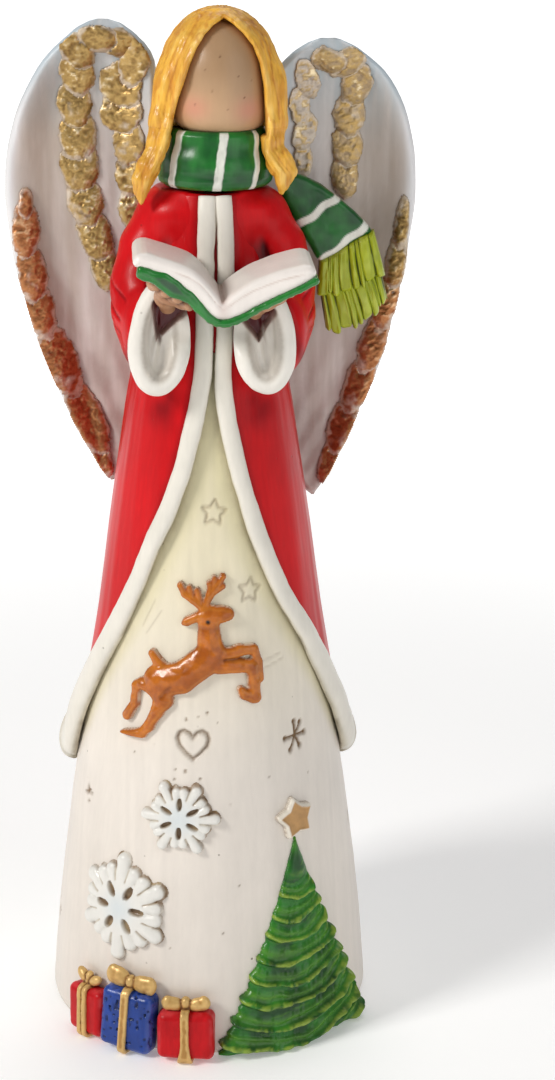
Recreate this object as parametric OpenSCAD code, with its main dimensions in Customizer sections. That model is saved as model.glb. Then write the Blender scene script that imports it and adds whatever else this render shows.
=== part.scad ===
// Resin angel figurine: a long-haired angel in a red coat reading a book,
// with a Christmas scene in relief on the white gown.
// Millimetres, +Z up, front towards -Y, origin at the middle of the rest face.
// "left" and "right" are as seen from the front: left is towards -X.

/* [Body] */
// Height from the table to the crown of the hair
total_h = 230; // [200:1:260]
// Height of the flat top of the solid body under the scarf
shoulder_z = 192; // [185:0.5:198]
// How far the gown's bottom rim stands off the table on its felt
felt_gap = 0.5; // [0.2:0.1:1.5]
// Radius of the felt pad
felt_r = 33.5; // [25:0.5:35]
// Thickness of the felt pad
felt_t = 1.3; // [1:0.1:2]

/* [Coat] */
// Lowest point of the coat at the back
coat_z0 = 57; // [50:0.5:70]
// Half the gap between the two front edges above the waist
front_gap = 0.45; // [0.2:0.05:1]
// Width of a white trim band at the chest
trim_w0 = 3.9; // [3:0.1:6]
// Width of a white trim band at the hem
trim_w1 = 12; // [6:0.1:14]
// How proud the trim stands at the chest
trim_h0 = 1.5; // [0.8:0.1:3]
// How proud the trim stands at the hem
trim_h1 = 4.2; // [2:0.1:6]

/* [Head and hair] */
// Sideways offset of the head from the body's axis
head_x = 2.2; // [-4:0.1:4]
// Height of the middle of the head
head_z = 214.6; // [210:0.1:220]
// Half the width of the head
head_rx = 9.6; // [8:0.1:12]
// Half the width of the hair cap
hair_rx = 13.4; // [11:0.1:16]
// Diameter of the neck peg
peg_d = 8; // [6:0.1:10]
// Clearance between a peg and its socket, on the diameter
peg_gap = 0.2; // [0.1:0.05:0.4]

/* [Book] */
// Height of the front edge of the pages' fold above the table
book_z = 173.6; // [168:0.1:178]
// How far forward the book reaches
book_y = 34; // [30:0.5:38]
// Depth of the book from front to back
book_depth = 19; // [15:0.5:22]
// Thickness of the cover
cover_t = 0.9; // [0.6:0.1:1.5]

/* [Wings] */
// Distance of the wings' middle plane behind the body's axis
wing_y = 13; // [10:0.5:16]
// Thickness of a wing at its rim
wing_t = 6; // [4:0.1:8]
// Angle that each wing is swept back
wing_sweep = 5; // [0:1:20]
// Diameter of the peg that holds each wing to the back
wing_peg_d = 4; // [3:0.1:5]

/* [Reliefs] */
// How proud the snowflakes stand
flake_h = 1.5; // [0.8:0.1:3]
// How proud the reindeer stands
deer_h = 2.2; // [1:0.1:4]
// Depth of the incised marks
cut_d = 0.6; // [0.3:0.1:1]
// How proud the gift boxes stand
gift_h = 4.2; // [2:0.1:6]
// Number of garland tiers on the tree
tree_tiers = 7; // [4:1:9]

/* [Hidden] */
$fn = 96;
eps = 0.01;
// height and radius of the gown and body
gown_prof = [[0.5, 36.6], [2, 37.2], [9.5, 36.6], [20, 35.7], [31, 34.5], [41, 33.2],
  [51, 31.9], [75, 28.2], [100, 24], [125, 20], [150, 16], [165, 13], [180, 11.4],
  [188, 9.6], [192, 9]];
// height and radius of the coat's outer face
coat_prof = [[57, 32.2], [66, 30.8], [76, 29.2], [86.5, 27.3], [96, 25.7], [106, 24.3],
  [115.5, 23], [143.6, 18.8], [154, 16.9], [165, 15], [178, 13.6], [188, 11.8], [192, 10.4]];
// middle line of each trim, angle from the front and height
path_l = [[4.5, 191], [5.5, 180], [6.4, 168], [6.3, 159], [7.2, 154], [9.3, 149],
  [12.2, 144], [15.4, 139], [19.1, 133], [23.4, 128], [28.5, 122.5], [35.3, 116],
  [44.8, 105], [53.5, 96], [64, 86.5], [73.5, 77.5], [82, 69], [92, 63.6]];
path_r = [[13, 191], [13, 180], [11.4, 168], [9, 159], [7.6, 154], [8, 149],
  [9.8, 144], [12.4, 139], [15.7, 133], [19.2, 128], [23, 122.5], [28, 116.5],
  [39, 105], [51, 95.5], [61.5, 86.5], [71, 77.5], [80.5, 69], [92, 63.6]];
path_b = [[92, 63.6], [99, 62.2], [109, 61.4], [122, 61], [140, 61], [160, 61],
  [180, 61], [200, 61], [220, 61], [238, 61], [251, 61.4], [261, 62.2], [268, 63.6]];
coat_x = 1.4;

function rg(z) = lookup(z, gown_prof);
function rc(z) = lookup(z, coat_prof);
function on_coat(a, z, h) = [(rc(z) + h) * sin(a), -(rc(z) + h) * cos(a), z];
function unit(v) = v / max(norm(v), 0.000001);

module revolve(prof, dr = 0) {
  n = len(prof);
  rotate_extrude()
    polygon(concat([[0, prof[0][0]]], [for (p = prof) [p[1] + dr, p[0]]],
      [[0, prof[n - 1][0]]]));
}

module gown_solid() { revolve(gown_prof); }
module coat_solid() { revolve(coat_prof); }

// band of the gown's surface from h0 to h1 proud of it
module skin(h0, h1) {
  n = len(gown_prof);
  rotate_extrude()
    polygon(concat([for (p = gown_prof) [p[1] + h0, p[0]]],
      [for (i = [n - 1 : -1 : 0]) [gown_prof[i][1] + h1, gown_prof[i][0]]]));
}

// put a shape on the gown: X along the surface, Y up it, Z outwards
module at_gown(a, z, off = 0)
  rotate([0, 0, a]) translate([0, -rg(z) - off, z]) rotate([81, 0, 0]) children();

// closed tube through a list of rings, each ring a list of points
module tube(rings) {
  n = len(rings);
  m = len(rings[0]);
  pts = [for (r = rings) each r];
  sides = [for (i = [0 : n - 2]) for (j = [0 : m - 1])
    let (k = (j + 1) % m)
    each [[i * m + j, i * m + k, (i + 1) * m + k], [i * m + j, (i + 1) * m + k, (i + 1) * m + j]]];
  caps = concat([for (j = [1 : m - 2]) [0, j + 1, j]],
    [for (j = [1 : m - 2]) let (b = (n - 1) * m) [b, b + j, b + j + 1]]);
  polyhedron(points = pts, faces = concat(sides, caps), convexity = 6);
}

// ring of points about c, with half sizes a along u and b along v
function ring(c, u, v, a, b, m = 14) =
  [for (j = [0 : m - 1]) c + u * a * cos(360 * j / m) + v * b * sin(360 * j / m)];

// rings along a centre line with a size for each point: [centre, a, b]
function rings_on(spec, side, m = 14) = [for (i = [0 : len(spec) - 1])
  let (p0 = spec[max(i - 1, 0)][0], p1 = spec[min(i + 1, len(spec) - 1)][0],
    t = unit(p1 - p0), u = unit(cross(side, t)), v = cross(t, u))
  ring(spec[i][0], v, u, spec[i][2], spec[i][1], m)];

// half-round roll that follows a path on the coat
function roll_ring(p, q, s, w, h, m = 9) =
  let (a = s * p[0], c = on_coat(a, p[1], 0),
    n = [sin(a), -cos(a), 0.15], d = unit(on_coat(s * q[0], q[1], 0) - c),
    b = unit(cross(d, n)))
  concat([for (j = [0 : m - 1]) let (t = 180 * j / (m - 1))
    c + b * w / 2 * cos(t) + n * h * sin(t)], [c - b * w / 2 - n * 2.5, c + b * w / 2 - n * 2.5]);

module roll(path, s, w0, w1, h0, h1, flip = false) {
  n = len(path);
  rings = [for (i = [0 : n - 1])
    let (f = i / (n - 1), e = f * f, k = i == n - 1 ? i - 1 : i,
      q = i == n - 1 ? 2 * path[i] - path[i - 1] : path[i + 1])
    roll_ring(path[i], q, s, w0 + (w1 - w0) * e, h0 + (h1 - h0) * e)];
  tube(flip ? [for (i = [n - 1 : -1 : 0]) rings[i]] : rings);
}

// ---- body -------------------------------------------------------------

module star_2d(r, q = 0.45)
  polygon([for (i = [0 : 9]) let (k = i % 2 == 0 ? r : r * q, a = 90 + 36 * i)
    [k * cos(a), k * sin(a)]]);

module heart_2d(s) {
  translate([-s * 0.5, s * 0.3]) circle(s * 0.56);
  translate([s * 0.5, s * 0.3]) circle(s * 0.56);
  polygon([[-s * 0.95, 0], [0, -s], [s * 0.95, 0], [s * 0.5, s * 0.5], [0, s * 0.55], [-s * 0.5, s * 0.5]]);
}

module mark(a, z) at_gown(a, z, -cut_d) linear_extrude(height = 4) children();

module spokes_2d(r, w, n) for (i = [0 : n - 1]) rotate(180 * i / n) square([2 * r, w], center = true);

module felt_pad() color("#3d4a3f") cylinder(h = felt_t, r = felt_r);

module gown() color("#eee8d8") difference() {
  gown_solid();
  translate([0, 0, -1]) cylinder(h = felt_t + 1.05, r = felt_r + 0.15);
  // socket for the neck peg
  translate([coat_x, 0, shoulder_z - 12]) cylinder(h = 13, d = peg_d + peg_gap);
  // sockets for the wing pegs
  for (x = [-5, 5]) translate([x, 4, 176]) rotate([-90, 0, 0])
    cylinder(h = 20, d = wing_peg_d + peg_gap);
  // incised marks
  mark(-9.6, 72.7) difference() { heart_2d(3.1); heart_2d(2.2); }
  mark(40.5, 71.8) {
    spokes_2d(2.6, 0.7, 3);
    for (i = [0 : 5]) rotate(60 * i) translate([2.7, 0]) circle(0.55);
  }
  for (p = [[0, 123.8], [20, 106.4]]) mark(p[0], p[1])
    difference() { star_2d(2.9); star_2d(2.1); }
  for (p = [[-65, 55.4], [-84, 21]]) mark(p[0], p[1]) spokes_2d(2, 0.4, 2);
}

// ---- coat -------------------------------------------------------------

function edge_x(p, s, off) = let (r = rc(p[1])) r * sin(s * max(p[0] - off, 0));

module opening_2d() {
  left = [for (p = path_l) if (p[1] < 158)
    [min(edge_x(p, -1, 4 + 5 * p[0] / 90), -front_gap + 0.3), p[1] - 3 * p[0] / 90]];
  right = [for (i = [len(path_r) - 1 : -1 : 0]) if (path_r[i][1] < 158)
    [max(edge_x(path_r[i], 1, 4 + 5 * path_r[i][0] / 90), front_gap + 0.3), path_r[i][1] - 3 * path_r[i][0] / 90]];
  polygon(concat([[0.6 - front_gap, 200]], left, [[-45, 63], [-45, 40], [45, 40], [45, 63]],
    right, [[0.6 + front_gap, 200]]));
}

module coat() color("#c01822") difference() {
  coat_solid();
  gown_solid();
  rotate([90, 0, 0]) linear_extrude(height = 60) opening_2d();
  for (x = [-5, 5]) translate([x, 4, 176]) rotate([-90, 0, 0])
    cylinder(h = 20, d = wing_peg_d + peg_gap);
}

module trim_left() color("#e9e4d8") difference() {
  roll(path_l, -1, trim_w0, trim_w1, trim_h0, trim_h1);
  coat_solid();
}

module trim_right() color("#e9e4d8") difference() {
  roll(path_r, 1, trim_w0, trim_w1, trim_h0, trim_h1);
  coat_solid();
}

module hem_trim() color("#e9e4d8") difference() {
  roll(path_b, 1, trim_w1, trim_w1, trim_h1, trim_h1);
  coat_solid();
}

// ---- arms -------------------------------------------------------------

// centre, size across and size along for each ring of a sleeve
function arm(s, dx) = [
  [[s * 6 + dx, 1.5, 186.6], 3, 3.4], [[s * 9.5 + dx, 1, 184.6], 4.8, 5.2],
  [[s * 12.6 + dx, 0, 179], 5.7, 6.4], [[s * 14.4 + dx, -2, 171], 6.2, 7.4],
  [[s * 14.8 + dx, -5, 164.5], 6.2, 7.6], [[s * 13.2 + dx, -9.5, 162], 6.1, 8.4],
  [[s * 12 + dx, -14, 161.8], 5.6, 9.2]];

// where a sleeve stops and its cuff starts
cuff_y = -12.8;

module in_front() translate([-60, cuff_y - 60, 120]) cube([120, 60, 90]);

// bell that opens forwards: y, height of the middle, half width, half height
cuff_prof = [[-12.8, 162.2, 5.2, 8.6], [-14.6, 162.4, 5.9, 10.6], [-17.5, 162.8, 6.4, 12],
  [-20.5, 163, 6.5, 12.4], [-22.4, 163, 6, 11.9], [-23, 163, 5, 10.8], [-22.6, 163, 4, 9.6],
  [-20.5, 163.2, 3.4, 8.4], [-17, 163.6, 2.8, 6]];

module bell(s, dx) tube([for (p = cuff_prof)
  ring([s * 11.4 + dx, p[0], p[1]], [0, 0, 1], [1, 0, 0], p[3], p[2], 20)]);

module sleeve(s, dx) color("#c01822") difference() {
  tube(rings_on(arm(s, dx), [1, 0, 0]));
  coat_solid();
  in_front();
}

module sleeve_left() sleeve(-1, 0);
module sleeve_right() sleeve(1, 1.4);

module cuff(s, dx) color("#ebe6dc") difference() {
  bell(s, dx);
  coat_solid();
}

module cuff_left() cuff(-1, 0);
module cuff_right() difference() {
  cuff(1, -0.6);
  roll(path_r, 1, trim_w0, trim_w1, trim_h0, trim_h1);
}

// mitten-like hand under the cover, with its wrist in the cuff
module hand(s, x, z, lean) translate([x, -24, z]) {
  rotate([0, lean, 0]) hull() {
    for (q = [-1.6, 1.6]) translate([s * 1.6, q, -0.4]) sphere(2.3, $fn = 16);
    for (q = [-2, 2]) translate([-s * 5, q, 0.6]) sphere(1.3, $fn = 14);
  }
  hull() {
    translate([s * 0.6, 1, -1.2]) sphere(2.2, $fn = 14);
    translate([s * 1.6, 4.6, -6]) sphere(2, $fn = 14);
  }
}

module hand_left() color("#bd8660") difference() {
  hand(-1, -9, 174, 32);
  book_block(cover_t);
  bell(-1, 0);
}

module hand_right() color("#bd8660") difference() {
  hand(1, 10.2, 169.4, -20);
  book_block(cover_t);
  bell(1, -0.6);
}

// ---- book -------------------------------------------------------------

book_top = [[-16.6, 8.8], [-14.6, 9.8], [-12.4, 9.4], [-5.4, 7], [-1.7, 3.8], [1.5, 0],
  [5.1, 2.6], [10.4, 5.4], [16, 7], [19.2, 7.2], [20.4, 5.8]];
book_low = [[20.2, 4.2], [13, 0.9], [8, -1.6], [4, -3.6], [1.5, -4.2], [-1.2, -3.4],
  [-5.9, 2], [-11, 5.4], [-16.6, 7.4]];

module book_shape(low_off, top_off)
  translate([0, -book_y, book_z]) rotate([90, 0, 0]) mirror([0, 0, 1])
    linear_extrude(height = book_depth)
      polygon(concat([for (p = book_top) [p[0], p[1] + top_off]],
        [for (p = book_low) [p[0], p[1] + low_off]]));

module book_block(t) translate([0, 0, -t]) book_shape(0, t);

module book_pages() color("#ece0de") book_shape(0, 0);

module book_cover() color("#1f6b33") difference() {
  book_block(cover_t);
  book_shape(0, 4);
}

// ---- head and hair ----------------------------------------------------

module head_solid() {
  translate([head_x, -1.5, head_z]) scale([head_rx, 9.2, 12.4]) sphere(1);
  translate([coat_x, 0, shoulder_z]) cylinder(h = 14, d = peg_d + 2);
}

module head() color("#c99a76") {
  head_solid();
  translate([coat_x, 0, shoulder_z - 11]) cylinder(h = 12, d = peg_d);
}

module hair_solid() {
  translate([head_x, 0.6, total_h - 16.4]) scale([hair_rx, 13.2, 16.4]) sphere(1);
}

module face_2d() polygon([[0.3, 13], [-3.2, 11.6], [-6.6, 7.6], [-8.8, 1.6], [-9.6, -6],
  [-9.8, -40], [9.8, -40], [9.6, -6], [8.9, 1.6], [7, 7.6], [3.8, 11.4]]);

module hair_cap() color("#e2a52f") difference() {
  hair_solid();
  head_solid();
  translate([head_x, -2, head_z]) rotate([90, 0, 0]) linear_extrude(height = 30) face_2d();
  neck_cone();
}

// fall of hair behind the neck and shoulders
// fall of hair behind the neck, over the roots of the wings
module hair_back() color("#e2a52f") difference() {
  tube([for (p = [[207.5, 8.6, 10.2, 4.6], [200, 12.4, 9, 4.2], [194, 15.2, 7.6, 3.5],
    [189, 17.7, 7.2, 2.8], [183, 19.1, 6.4, 2.4], [178.5, 19.6, 4.4, 1.8]])
    ring([head_x - 0.6, p[1], p[0]], [1, 0, 0], [0, 1, 0], p[2], p[3], 20)]);
  hair_solid();
  coat_solid();
  head_solid();
  neck_cone();
}

module lock(spec) difference() {
  tube(rings_on(spec, [0, 1, 0], 12));
  hair_solid();
  coat_solid();
  neck_cone();
}

module hair_lock_left() color("#e2a52f") difference() {
  lock([[[-9.4, -5.4, 210], 2.4, 2.6], [[-10.2, -7, 204], 2.5, 2.6],
    [[-11.8, -7.6, 199], 2.1, 2.3], [[-14.2, -7.4, 195], 1.7, 1.9],
    [[-13.9, -7.6, 191.5], 1.2, 1.4], [[-12.9, -8, 188], 0.4, 0.5]]);
  tube(rings_on(arm(-1, 0), [1, 0, 0]));
}

module hair_lock_right() color("#e2a52f") difference() {
  lock([[[14, -5.4, 210], 2.4, 2.6], [[15, -7, 204], 2.6, 2.6],
    [[17, -7.6, 199.5], 2.2, 2.4], [[18.4, -7.4, 196.5], 1.9, 2.1],
    [[17.6, -7.8, 193.4], 1.4, 1.5], [[15.8, -8.4, 190.6], 0.4, 0.5]]);
  tube(rings_on(arm(1, 1.4), [1, 0, 0]));
}

// ---- scarf ------------------------------------------------------------

module scarf_wrap() color("#17512a") translate([coat_x, 0, 0]) difference() {
  rotate_extrude() polygon([[5.2, 192.2], [12.2, 192.2], [12.5, 195.5], [12, 199.5],
    [11, 203], [10, 204.3], [5.2, 204.3]]);
  translate([-coat_x, 0, 0]) head_solid();
}

// flat hanging piece, outline in X and Z, thickness along Y
module flat(y, t, pts) translate([0, y, 0]) rotate([90, 0, 0])
  linear_extrude(height = t) polygon(pts);

module tail_shape() flat(5.4, 4, [[14.6, 193.6], [21, 192.8], [27.6, 188.8], [32, 185],
  [35.8, 181], [30, 177.4], [24.6, 173.8], [20, 181], [16, 187.6]]);

module scarf_tail() color("#17512a") difference() {
  tail_shape();
  tube(rings_on(arm(1, 1.4), [1, 0, 0]));
  coat_solid();
}

module scarf_fringe_upper() color("#8fa82a") flat(4.8, 4.2, [[24.6, 173.7], [30, 177.3],
  [35.8, 180.9], [39.4, 174.6], [38.9, 167.5], [33, 165.6], [26.2, 163], [25, 168]]);

module scarf_fringe_lower() color("#8fa82a") difference() {
  flat(5.6, 3.4, [[25, 163.2], [33, 165.4], [38.4, 167.4], [40.2, 160], [36, 156.6],
    [30.6, 154.7], [28.4, 158.4]]);
  flat(4.9, 4.4, [[24.6, 173.7], [30, 177.3], [35.8, 180.9], [39.4, 174.6],
    [38.9, 167.5], [33, 165.6], [26.2, 163], [25, 168]]);
}

// ---- wings ------------------------------------------------------------

// inner and outer edge of each wing by height
in_l = [[121, 21.5], [122.5, 19.6], [137, 13], [152, 7], [164, 2.2], [182, 2.2], [189, 6.5],
  [196, 9], [204, 10.8], [216.4, 10.8], [220.4, 12.6], [224.4, 18.4], [225.3, 21.4]];
out_l = [[121, 21.9], [125, 24.8], [136, 31], [153, 38], [171, 43], [186, 44.8], [196, 44.2],
  [206, 41.6], [216.4, 36], [223, 29], [224.8, 25.4], [225.3, 23.6]];
in_r = [[116.8, 24.4], [118.6, 22.2], [134, 15], [150, 8], [162, 2.2], [180, 2.2], [187, 7],
  [195, 10], [203, 13.4], [213, 14], [216.8, 16.4], [220.2, 22], [221.2, 25]];
out_r = [[116.8, 24.9], [120.4, 27.2], [132, 33], [149, 40.4], [168, 44.7], [185, 47.2],
  [196, 46.8], [206, 44.4], [214, 40], [218.8, 34], [220.8, 29.6], [221.2, 28.2]];
wing_e = [0.03, 0.08, 0.16, 0.28, 0.42, 0.58, 0.72, 0.84, 0.92, 0.97];

function ease(x) = let (t = min(max(x, 0), 1)) t * t * (3 - 2 * t);
// front and back of a wing about its middle plane; e runs from the inner edge to the outer
function dish(e, z, z0, z1) = wing_t * (-0.5 + 0.56 * ease(min(e, 1 - e) / 0.3)
  * ease(min((z - z0) / 22, (z1 - z) / 16)));
function back(e) = wing_t * (-0.08 + 0.58 * sqrt(1 - pow(2 * e - 1, 4)));

module swept(s) translate([0, wing_y, 0]) rotate([0, 0, s * wing_sweep]) children();

module wing_plate(s, inner, outer) {
  z0 = inner[0][0];
  z1 = inner[len(inner) - 1][0];
  steps = [0, 0.02, 0.06, 0.13, 0.22, 0.31, 0.4, 0.5, 0.6, 0.7, 0.78, 0.85, 0.9, 0.94, 0.97, 0.99, 1];
  n = len(steps);
  levels = [for (i = [0 : n - 1]) z0 + (z1 - z0) * steps[s > 0 ? i : n - 1 - i]];
  swept(s) tube([for (z = levels) let (a = lookup(z, inner), w = lookup(z, outer) - a)
    concat([[s * a, -0.08 * wing_t, z]], [for (e = wing_e) [s * (a + w * e), back(e), z]],
      [[s * (a + w), -0.08 * wing_t, z]],
      [for (i = [len(wing_e) - 1 : -1 : 0]) let (e = wing_e[i])
        [s * (a + w * e), dish(e, z, z0, z1), z]])]);
}

module neck_cone() translate([coat_x, 0, 180]) cylinder(h = 24.5, r1 = 12.6, r2 = 11.3);

module wing(s, inner, outer) color("#e4dedb") {
  difference() {
    wing_plate(s, inner, outer);
    coat_solid();
  }
  translate([s * 5, 6, 176]) rotate([-90, 0, 0]) cylinder(h = 7, d = wing_peg_d);
}

module wing_left() wing(-1, in_l, out_l);
module wing_right() wing(1, in_r, out_r);

// row of overlapping feathers on a wing: x, z, half width, half height, lean
module feathers(s, rows, inner, outer) color("#b08c4e") difference() {
  z0 = inner[0][0];
  z1 = inner[len(inner) - 1][0];
  n = len(rows);
  steps = [[-0.9, 0.55, 0.5], [-0.45, 0.95, 0.85], [0.1, 1, 1], [0.6, 0.75, 0.8]];
  spec = [for (i = [0 : n - 1]) for (q = steps)
    let (p = rows[i], k = p[3] * 0.82 * q[0], x = p[0] + k * sin(p[4]), z = p[1] - k * cos(p[4]),
      a = lookup(z, inner), e = (s * x - a) / (lookup(z, outer) - a))
    [[x, dish(e, z, z0, z1) + 0.4, z], p[2] * q[1], 0.4 + 1.8 * q[2]]];
  swept(s) tube([for (p = spec) ring(p[0], [1, 0, 0], [0, 1, 0], p[1], p[2], 10)]);
  wing_plate(s, inner, outer);
}

module feathers_inner_left() feathers(-1, [for (p = [[-16.5, 216.5], [-18, 211],
  [-17.4, 205.4], [-17, 199.6], [-16.6, 193.8], [-16.4, 188]])
  [p[0], p[1], 3.3, 4, 0]], in_l, out_l);
module feathers_middle_left() feathers(-1, [for (p = [[-24, 218, -30], [-28.2, 213, 0],
  [-29, 206.6, 0], [-28.4, 200.2, 0], [-28, 193.6, 5], [-26.4, 186.6, 12],
  [-24.8, 179.4, 12], [-23.4, 172.4, 10]]) [p[0], p[1], 4, 4.6, p[2]]], in_l, out_l);
module feathers_edge_left() feathers(-1, [for (p = [[-39.4, 187, 0], [-39.4, 178, 4],
  [-38, 169, 10], [-35.6, 160, 16], [-32.4, 151, 20], [-28.6, 142, 22], [-25, 133.6, 24]])
  [p[0], p[1], 3.5, 5.8, p[2]]], in_l, out_l);
module feathers_inner_right() feathers(1, [for (p = [[24.4, 213.6], [23.6, 207.4],
  [23.2, 201], [22.4, 195]]) [p[0], p[1], 2.6, 4, 0]], in_r, out_r);
module feathers_middle_right() feathers(1, [for (p = [[30, 215], [31.4, 208.4], [31.2, 202],
  [31, 195.8], [30.6, 189.6]]) [p[0], p[1], 3.4, 4, 0]], in_r, out_r);
module feathers_edge_right() feathers(1, [for (p = [[41.4, 179, -4], [40.6, 171, -8],
  [39.6, 162, -12], [36.6, 152.6, -18], [33, 143.4, -21], [29.6, 134, -22], [27, 126, -20]])
  [p[0], p[1], 3.4, 5.8, p[2]]], in_r, out_r);

// ---- reliefs on the gown ----------------------------------------------

module relief(a, z, h) intersection() {
  at_gown(a, z, -6) linear_extrude(height = 16) children();
  skin(0, h);
}

module flake_2d(r) difference() {
  union() {
    circle(r * 0.42);
    for (i = [0 : 5]) rotate(60 * i + 30) {
      translate([r * 0.55, 0]) square([r * 0.7, r * 0.26], center = true);
      translate([r * 0.88, 0]) circle(r * 0.14);
      for (s = [-1, 1]) translate([r * 0.6, s * r * 0.2]) circle(r * 0.14);
    }
  }
  for (i = [0 : 5]) rotate(60 * i) translate([r * 0.29, 0])
    square([r * 0.18, r * 0.07], center = true);
}

module snowflake_large() color("#f2f0ea") relief(-37.7, 33.2, flake_h) flake_2d(13);
module snowflake_small() color("#f2f0ea") relief(-14.5, 56.2, flake_h) flake_2d(8.8);

module limb(a, b, ra, rb) hull() {
  translate(a) circle(ra, $fn = 20);
  translate(b) circle(rb, $fn = 20);
}

module deer_2d() {
  // body, neck and head
  limb([-7.4, -5.4], [-3, -4.4], 3.5, 3.2);
  limb([-3, -4.4], [1.2, -1], 3.2, 3.1);
  limb([1.2, -1], [3.7, 0.9], 3.1, 3.3);
  limb([3.4, 1.6], [3.2, 5.6], 3, 2.3);
  limb([3.1, 5.2], [3, 9.2], 2.3, 2.3);
  limb([3.2, 10], [7.4, 10.2], 2.2, 1.4);
  // ear and tail
  limb([0.8, 9.8], [-2.6, 8], 1, 0.6);
  limb([-7.6, -2], [-9.6, 0.4], 1.3, 0.9);
  // antlers
  limb([1.4, 11.8], [-2.6, 14.6], 0.9, 0.8);
  limb([-2.6, 14.6], [-3.7, 16.4], 0.8, 0.7);
  limb([-1, 13.9], [-1.5, 16], 0.8, 0.7);
  limb([2.2, 12.2], [5, 16.6], 0.9, 0.8);
  limb([5, 16.6], [6.5, 18.6], 0.8, 0.7);
  limb([3.5, 14.8], [3.2, 17], 0.7, 0.7);
  limb([4.6, 15.4], [6.4, 16.4], 0.7, 0.7);
  // forelegs
  limb([5.4, -1], [12.2, -1.9], 2.1, 1.4);
  limb([12.2, -1.9], [12.6, -9], 1.4, 1.2);
  limb([12.4, -9], [10.2, -7.8], 1.2, 1);
  limb([5.8, 1], [13, 1.7], 1.4, 1);
  limb([13, 1.7], [14, -5], 1, 0.8);
  // hind legs
  limb([-8.6, -7.4], [-12.8, -7.6], 1.8, 1.1);
  limb([-12.8, -7.6], [-12.9, -11.8], 1, 0.9);
  limb([-12.9, -11.8], [-14.4, -14.8], 0.9, 1.1);
  limb([-7.2, -6.6], [-7.6, -12.6], 3.1, 1.3);
  limb([-7.6, -12.6], [-10.8, -18.2], 1.3, 1);
  limb([-10.8, -18.2], [-14.6, -19.4], 1.1, 1.1);
}

module reindeer() color("#a8561c") relief(-9.6, 91.9, deer_h) deer_2d();

module tree_star() color("#b98d4c") intersection() {
  at_gown(34.8, 53.6, -6) linear_extrude(height = 16) star_2d(5, 0.55);
  skin(0, 2.2);
}

// one tier: a sector of a revolve that swells towards its lower edge
module tier(a, half, z0, z1, h) rotate([0, 0, a - half - 90]) rotate_extrude(angle = 2 * half)
  polygon([[rg(z0) - 3, z0], [rg(z0) + h, z0 + 0.8], [rg(z1) + h * 0.55, z1], [rg(z1) - 3, z1]]);

module tree() color("#1d6b2c") difference() {
  union() {
    for (i = [0 : tree_tiers - 1]) {
      f = i / tree_tiers;
      tier(31.5 + 2 * f, 28 - 24.5 * f, 0.6 + 40 * f, 1.5 + 40 * (i + 1) / tree_tiers, 4.6 - 2.4 * f);
    }
    tier(33.6, 2.4, 41, 49.4, 2);
  }
  gown_solid();
}

// ---- gifts ------------------------------------------------------------

module box_shape(a, w, h, g) rotate([0, 0, a]) translate([-w / 2, -rg(h / 2) - g, 0.6])
  cube([w, g + 4, h - 0.6]);

module gift(a, w, h, c, g = gift_h) color(c) difference() {
  box_shape(a, w, h, g);
  gown_solid();
}

module strap(a, w, h, g = gift_h) color("#b18a43") difference() {
  union() {
    box_shape(a, 2, h + 0.5, g + 0.7);
    rotate([0, 0, a]) translate([0, -rg(h) - g * 0.55, h + 1.6]) {
      for (s = [-1, 1]) translate([s * 2.1, 0, 0.2]) rotate([0, s * -20, 0])
        scale([2.4, 1.5, 1.5]) sphere(1);
      sphere(1.5);
    }
  }
  box_shape(a, w, h, g);
  gown_solid();
}

module gift_middle() gift(-30.6, 11.6, 15, "#2b4f9e");
module gift_left() difference() {
  gift(-49.5, 8.6, 11.8, "#b3231c", 3.4);
  box_shape(-30.6, 11.7, 15.6, gift_h + 1);
}
module gift_right() difference() {
  gift(-10.6, 10.6, 11.6, "#b3231c");
  box_shape(-30.6, 11.7, 15.6, gift_h + 1);
}
module gift_ribbon_left() strap(-49.5, 8.6, 11.8, 3.4);
module gift_ribbon_middle() strap(-30.6, 11.6, 15);
module gift_ribbon_right() strap(-10.6, 10.6, 11.6);

// ---- assembly ---------------------------------------------------------

felt_pad();
gown();
coat();
trim_left();
trim_right();
hem_trim();
sleeve_left();
sleeve_right();
cuff_left();
cuff_right();
hand_left();
hand_right();
book_cover();
book_pages();
head();
hair_cap();
hair_back();
hair_lock_left();
hair_lock_right();
scarf_wrap();
scarf_tail();
scarf_fringe_upper();
scarf_fringe_lower();
wing_left();
wing_right();
feathers_inner_left();
feathers_middle_left();
feathers_edge_left();
feathers_inner_right();
feathers_middle_right();
feathers_edge_right();
reindeer();
snowflake_large();
snowflake_small();
tree();
tree_star();
gift_left();
gift_middle();
gift_right();
gift_ribbon_left();
gift_ribbon_middle();
gift_ribbon_right();
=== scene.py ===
import bpy
import math
import numpy as np
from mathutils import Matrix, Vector


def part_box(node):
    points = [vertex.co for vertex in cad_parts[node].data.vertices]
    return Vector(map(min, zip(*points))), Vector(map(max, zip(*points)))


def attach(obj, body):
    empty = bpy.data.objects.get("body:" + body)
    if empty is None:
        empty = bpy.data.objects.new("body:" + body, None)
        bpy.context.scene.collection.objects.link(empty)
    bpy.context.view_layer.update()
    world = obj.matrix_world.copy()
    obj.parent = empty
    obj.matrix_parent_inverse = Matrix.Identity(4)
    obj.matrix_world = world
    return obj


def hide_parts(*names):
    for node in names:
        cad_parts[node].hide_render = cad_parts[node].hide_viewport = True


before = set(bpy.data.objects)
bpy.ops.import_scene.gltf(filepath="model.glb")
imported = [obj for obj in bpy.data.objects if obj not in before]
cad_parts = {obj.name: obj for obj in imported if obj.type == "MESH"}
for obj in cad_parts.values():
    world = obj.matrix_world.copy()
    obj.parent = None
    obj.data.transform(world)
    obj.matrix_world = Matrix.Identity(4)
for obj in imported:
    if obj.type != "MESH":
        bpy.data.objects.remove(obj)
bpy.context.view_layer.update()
MM = 0.001
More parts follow.
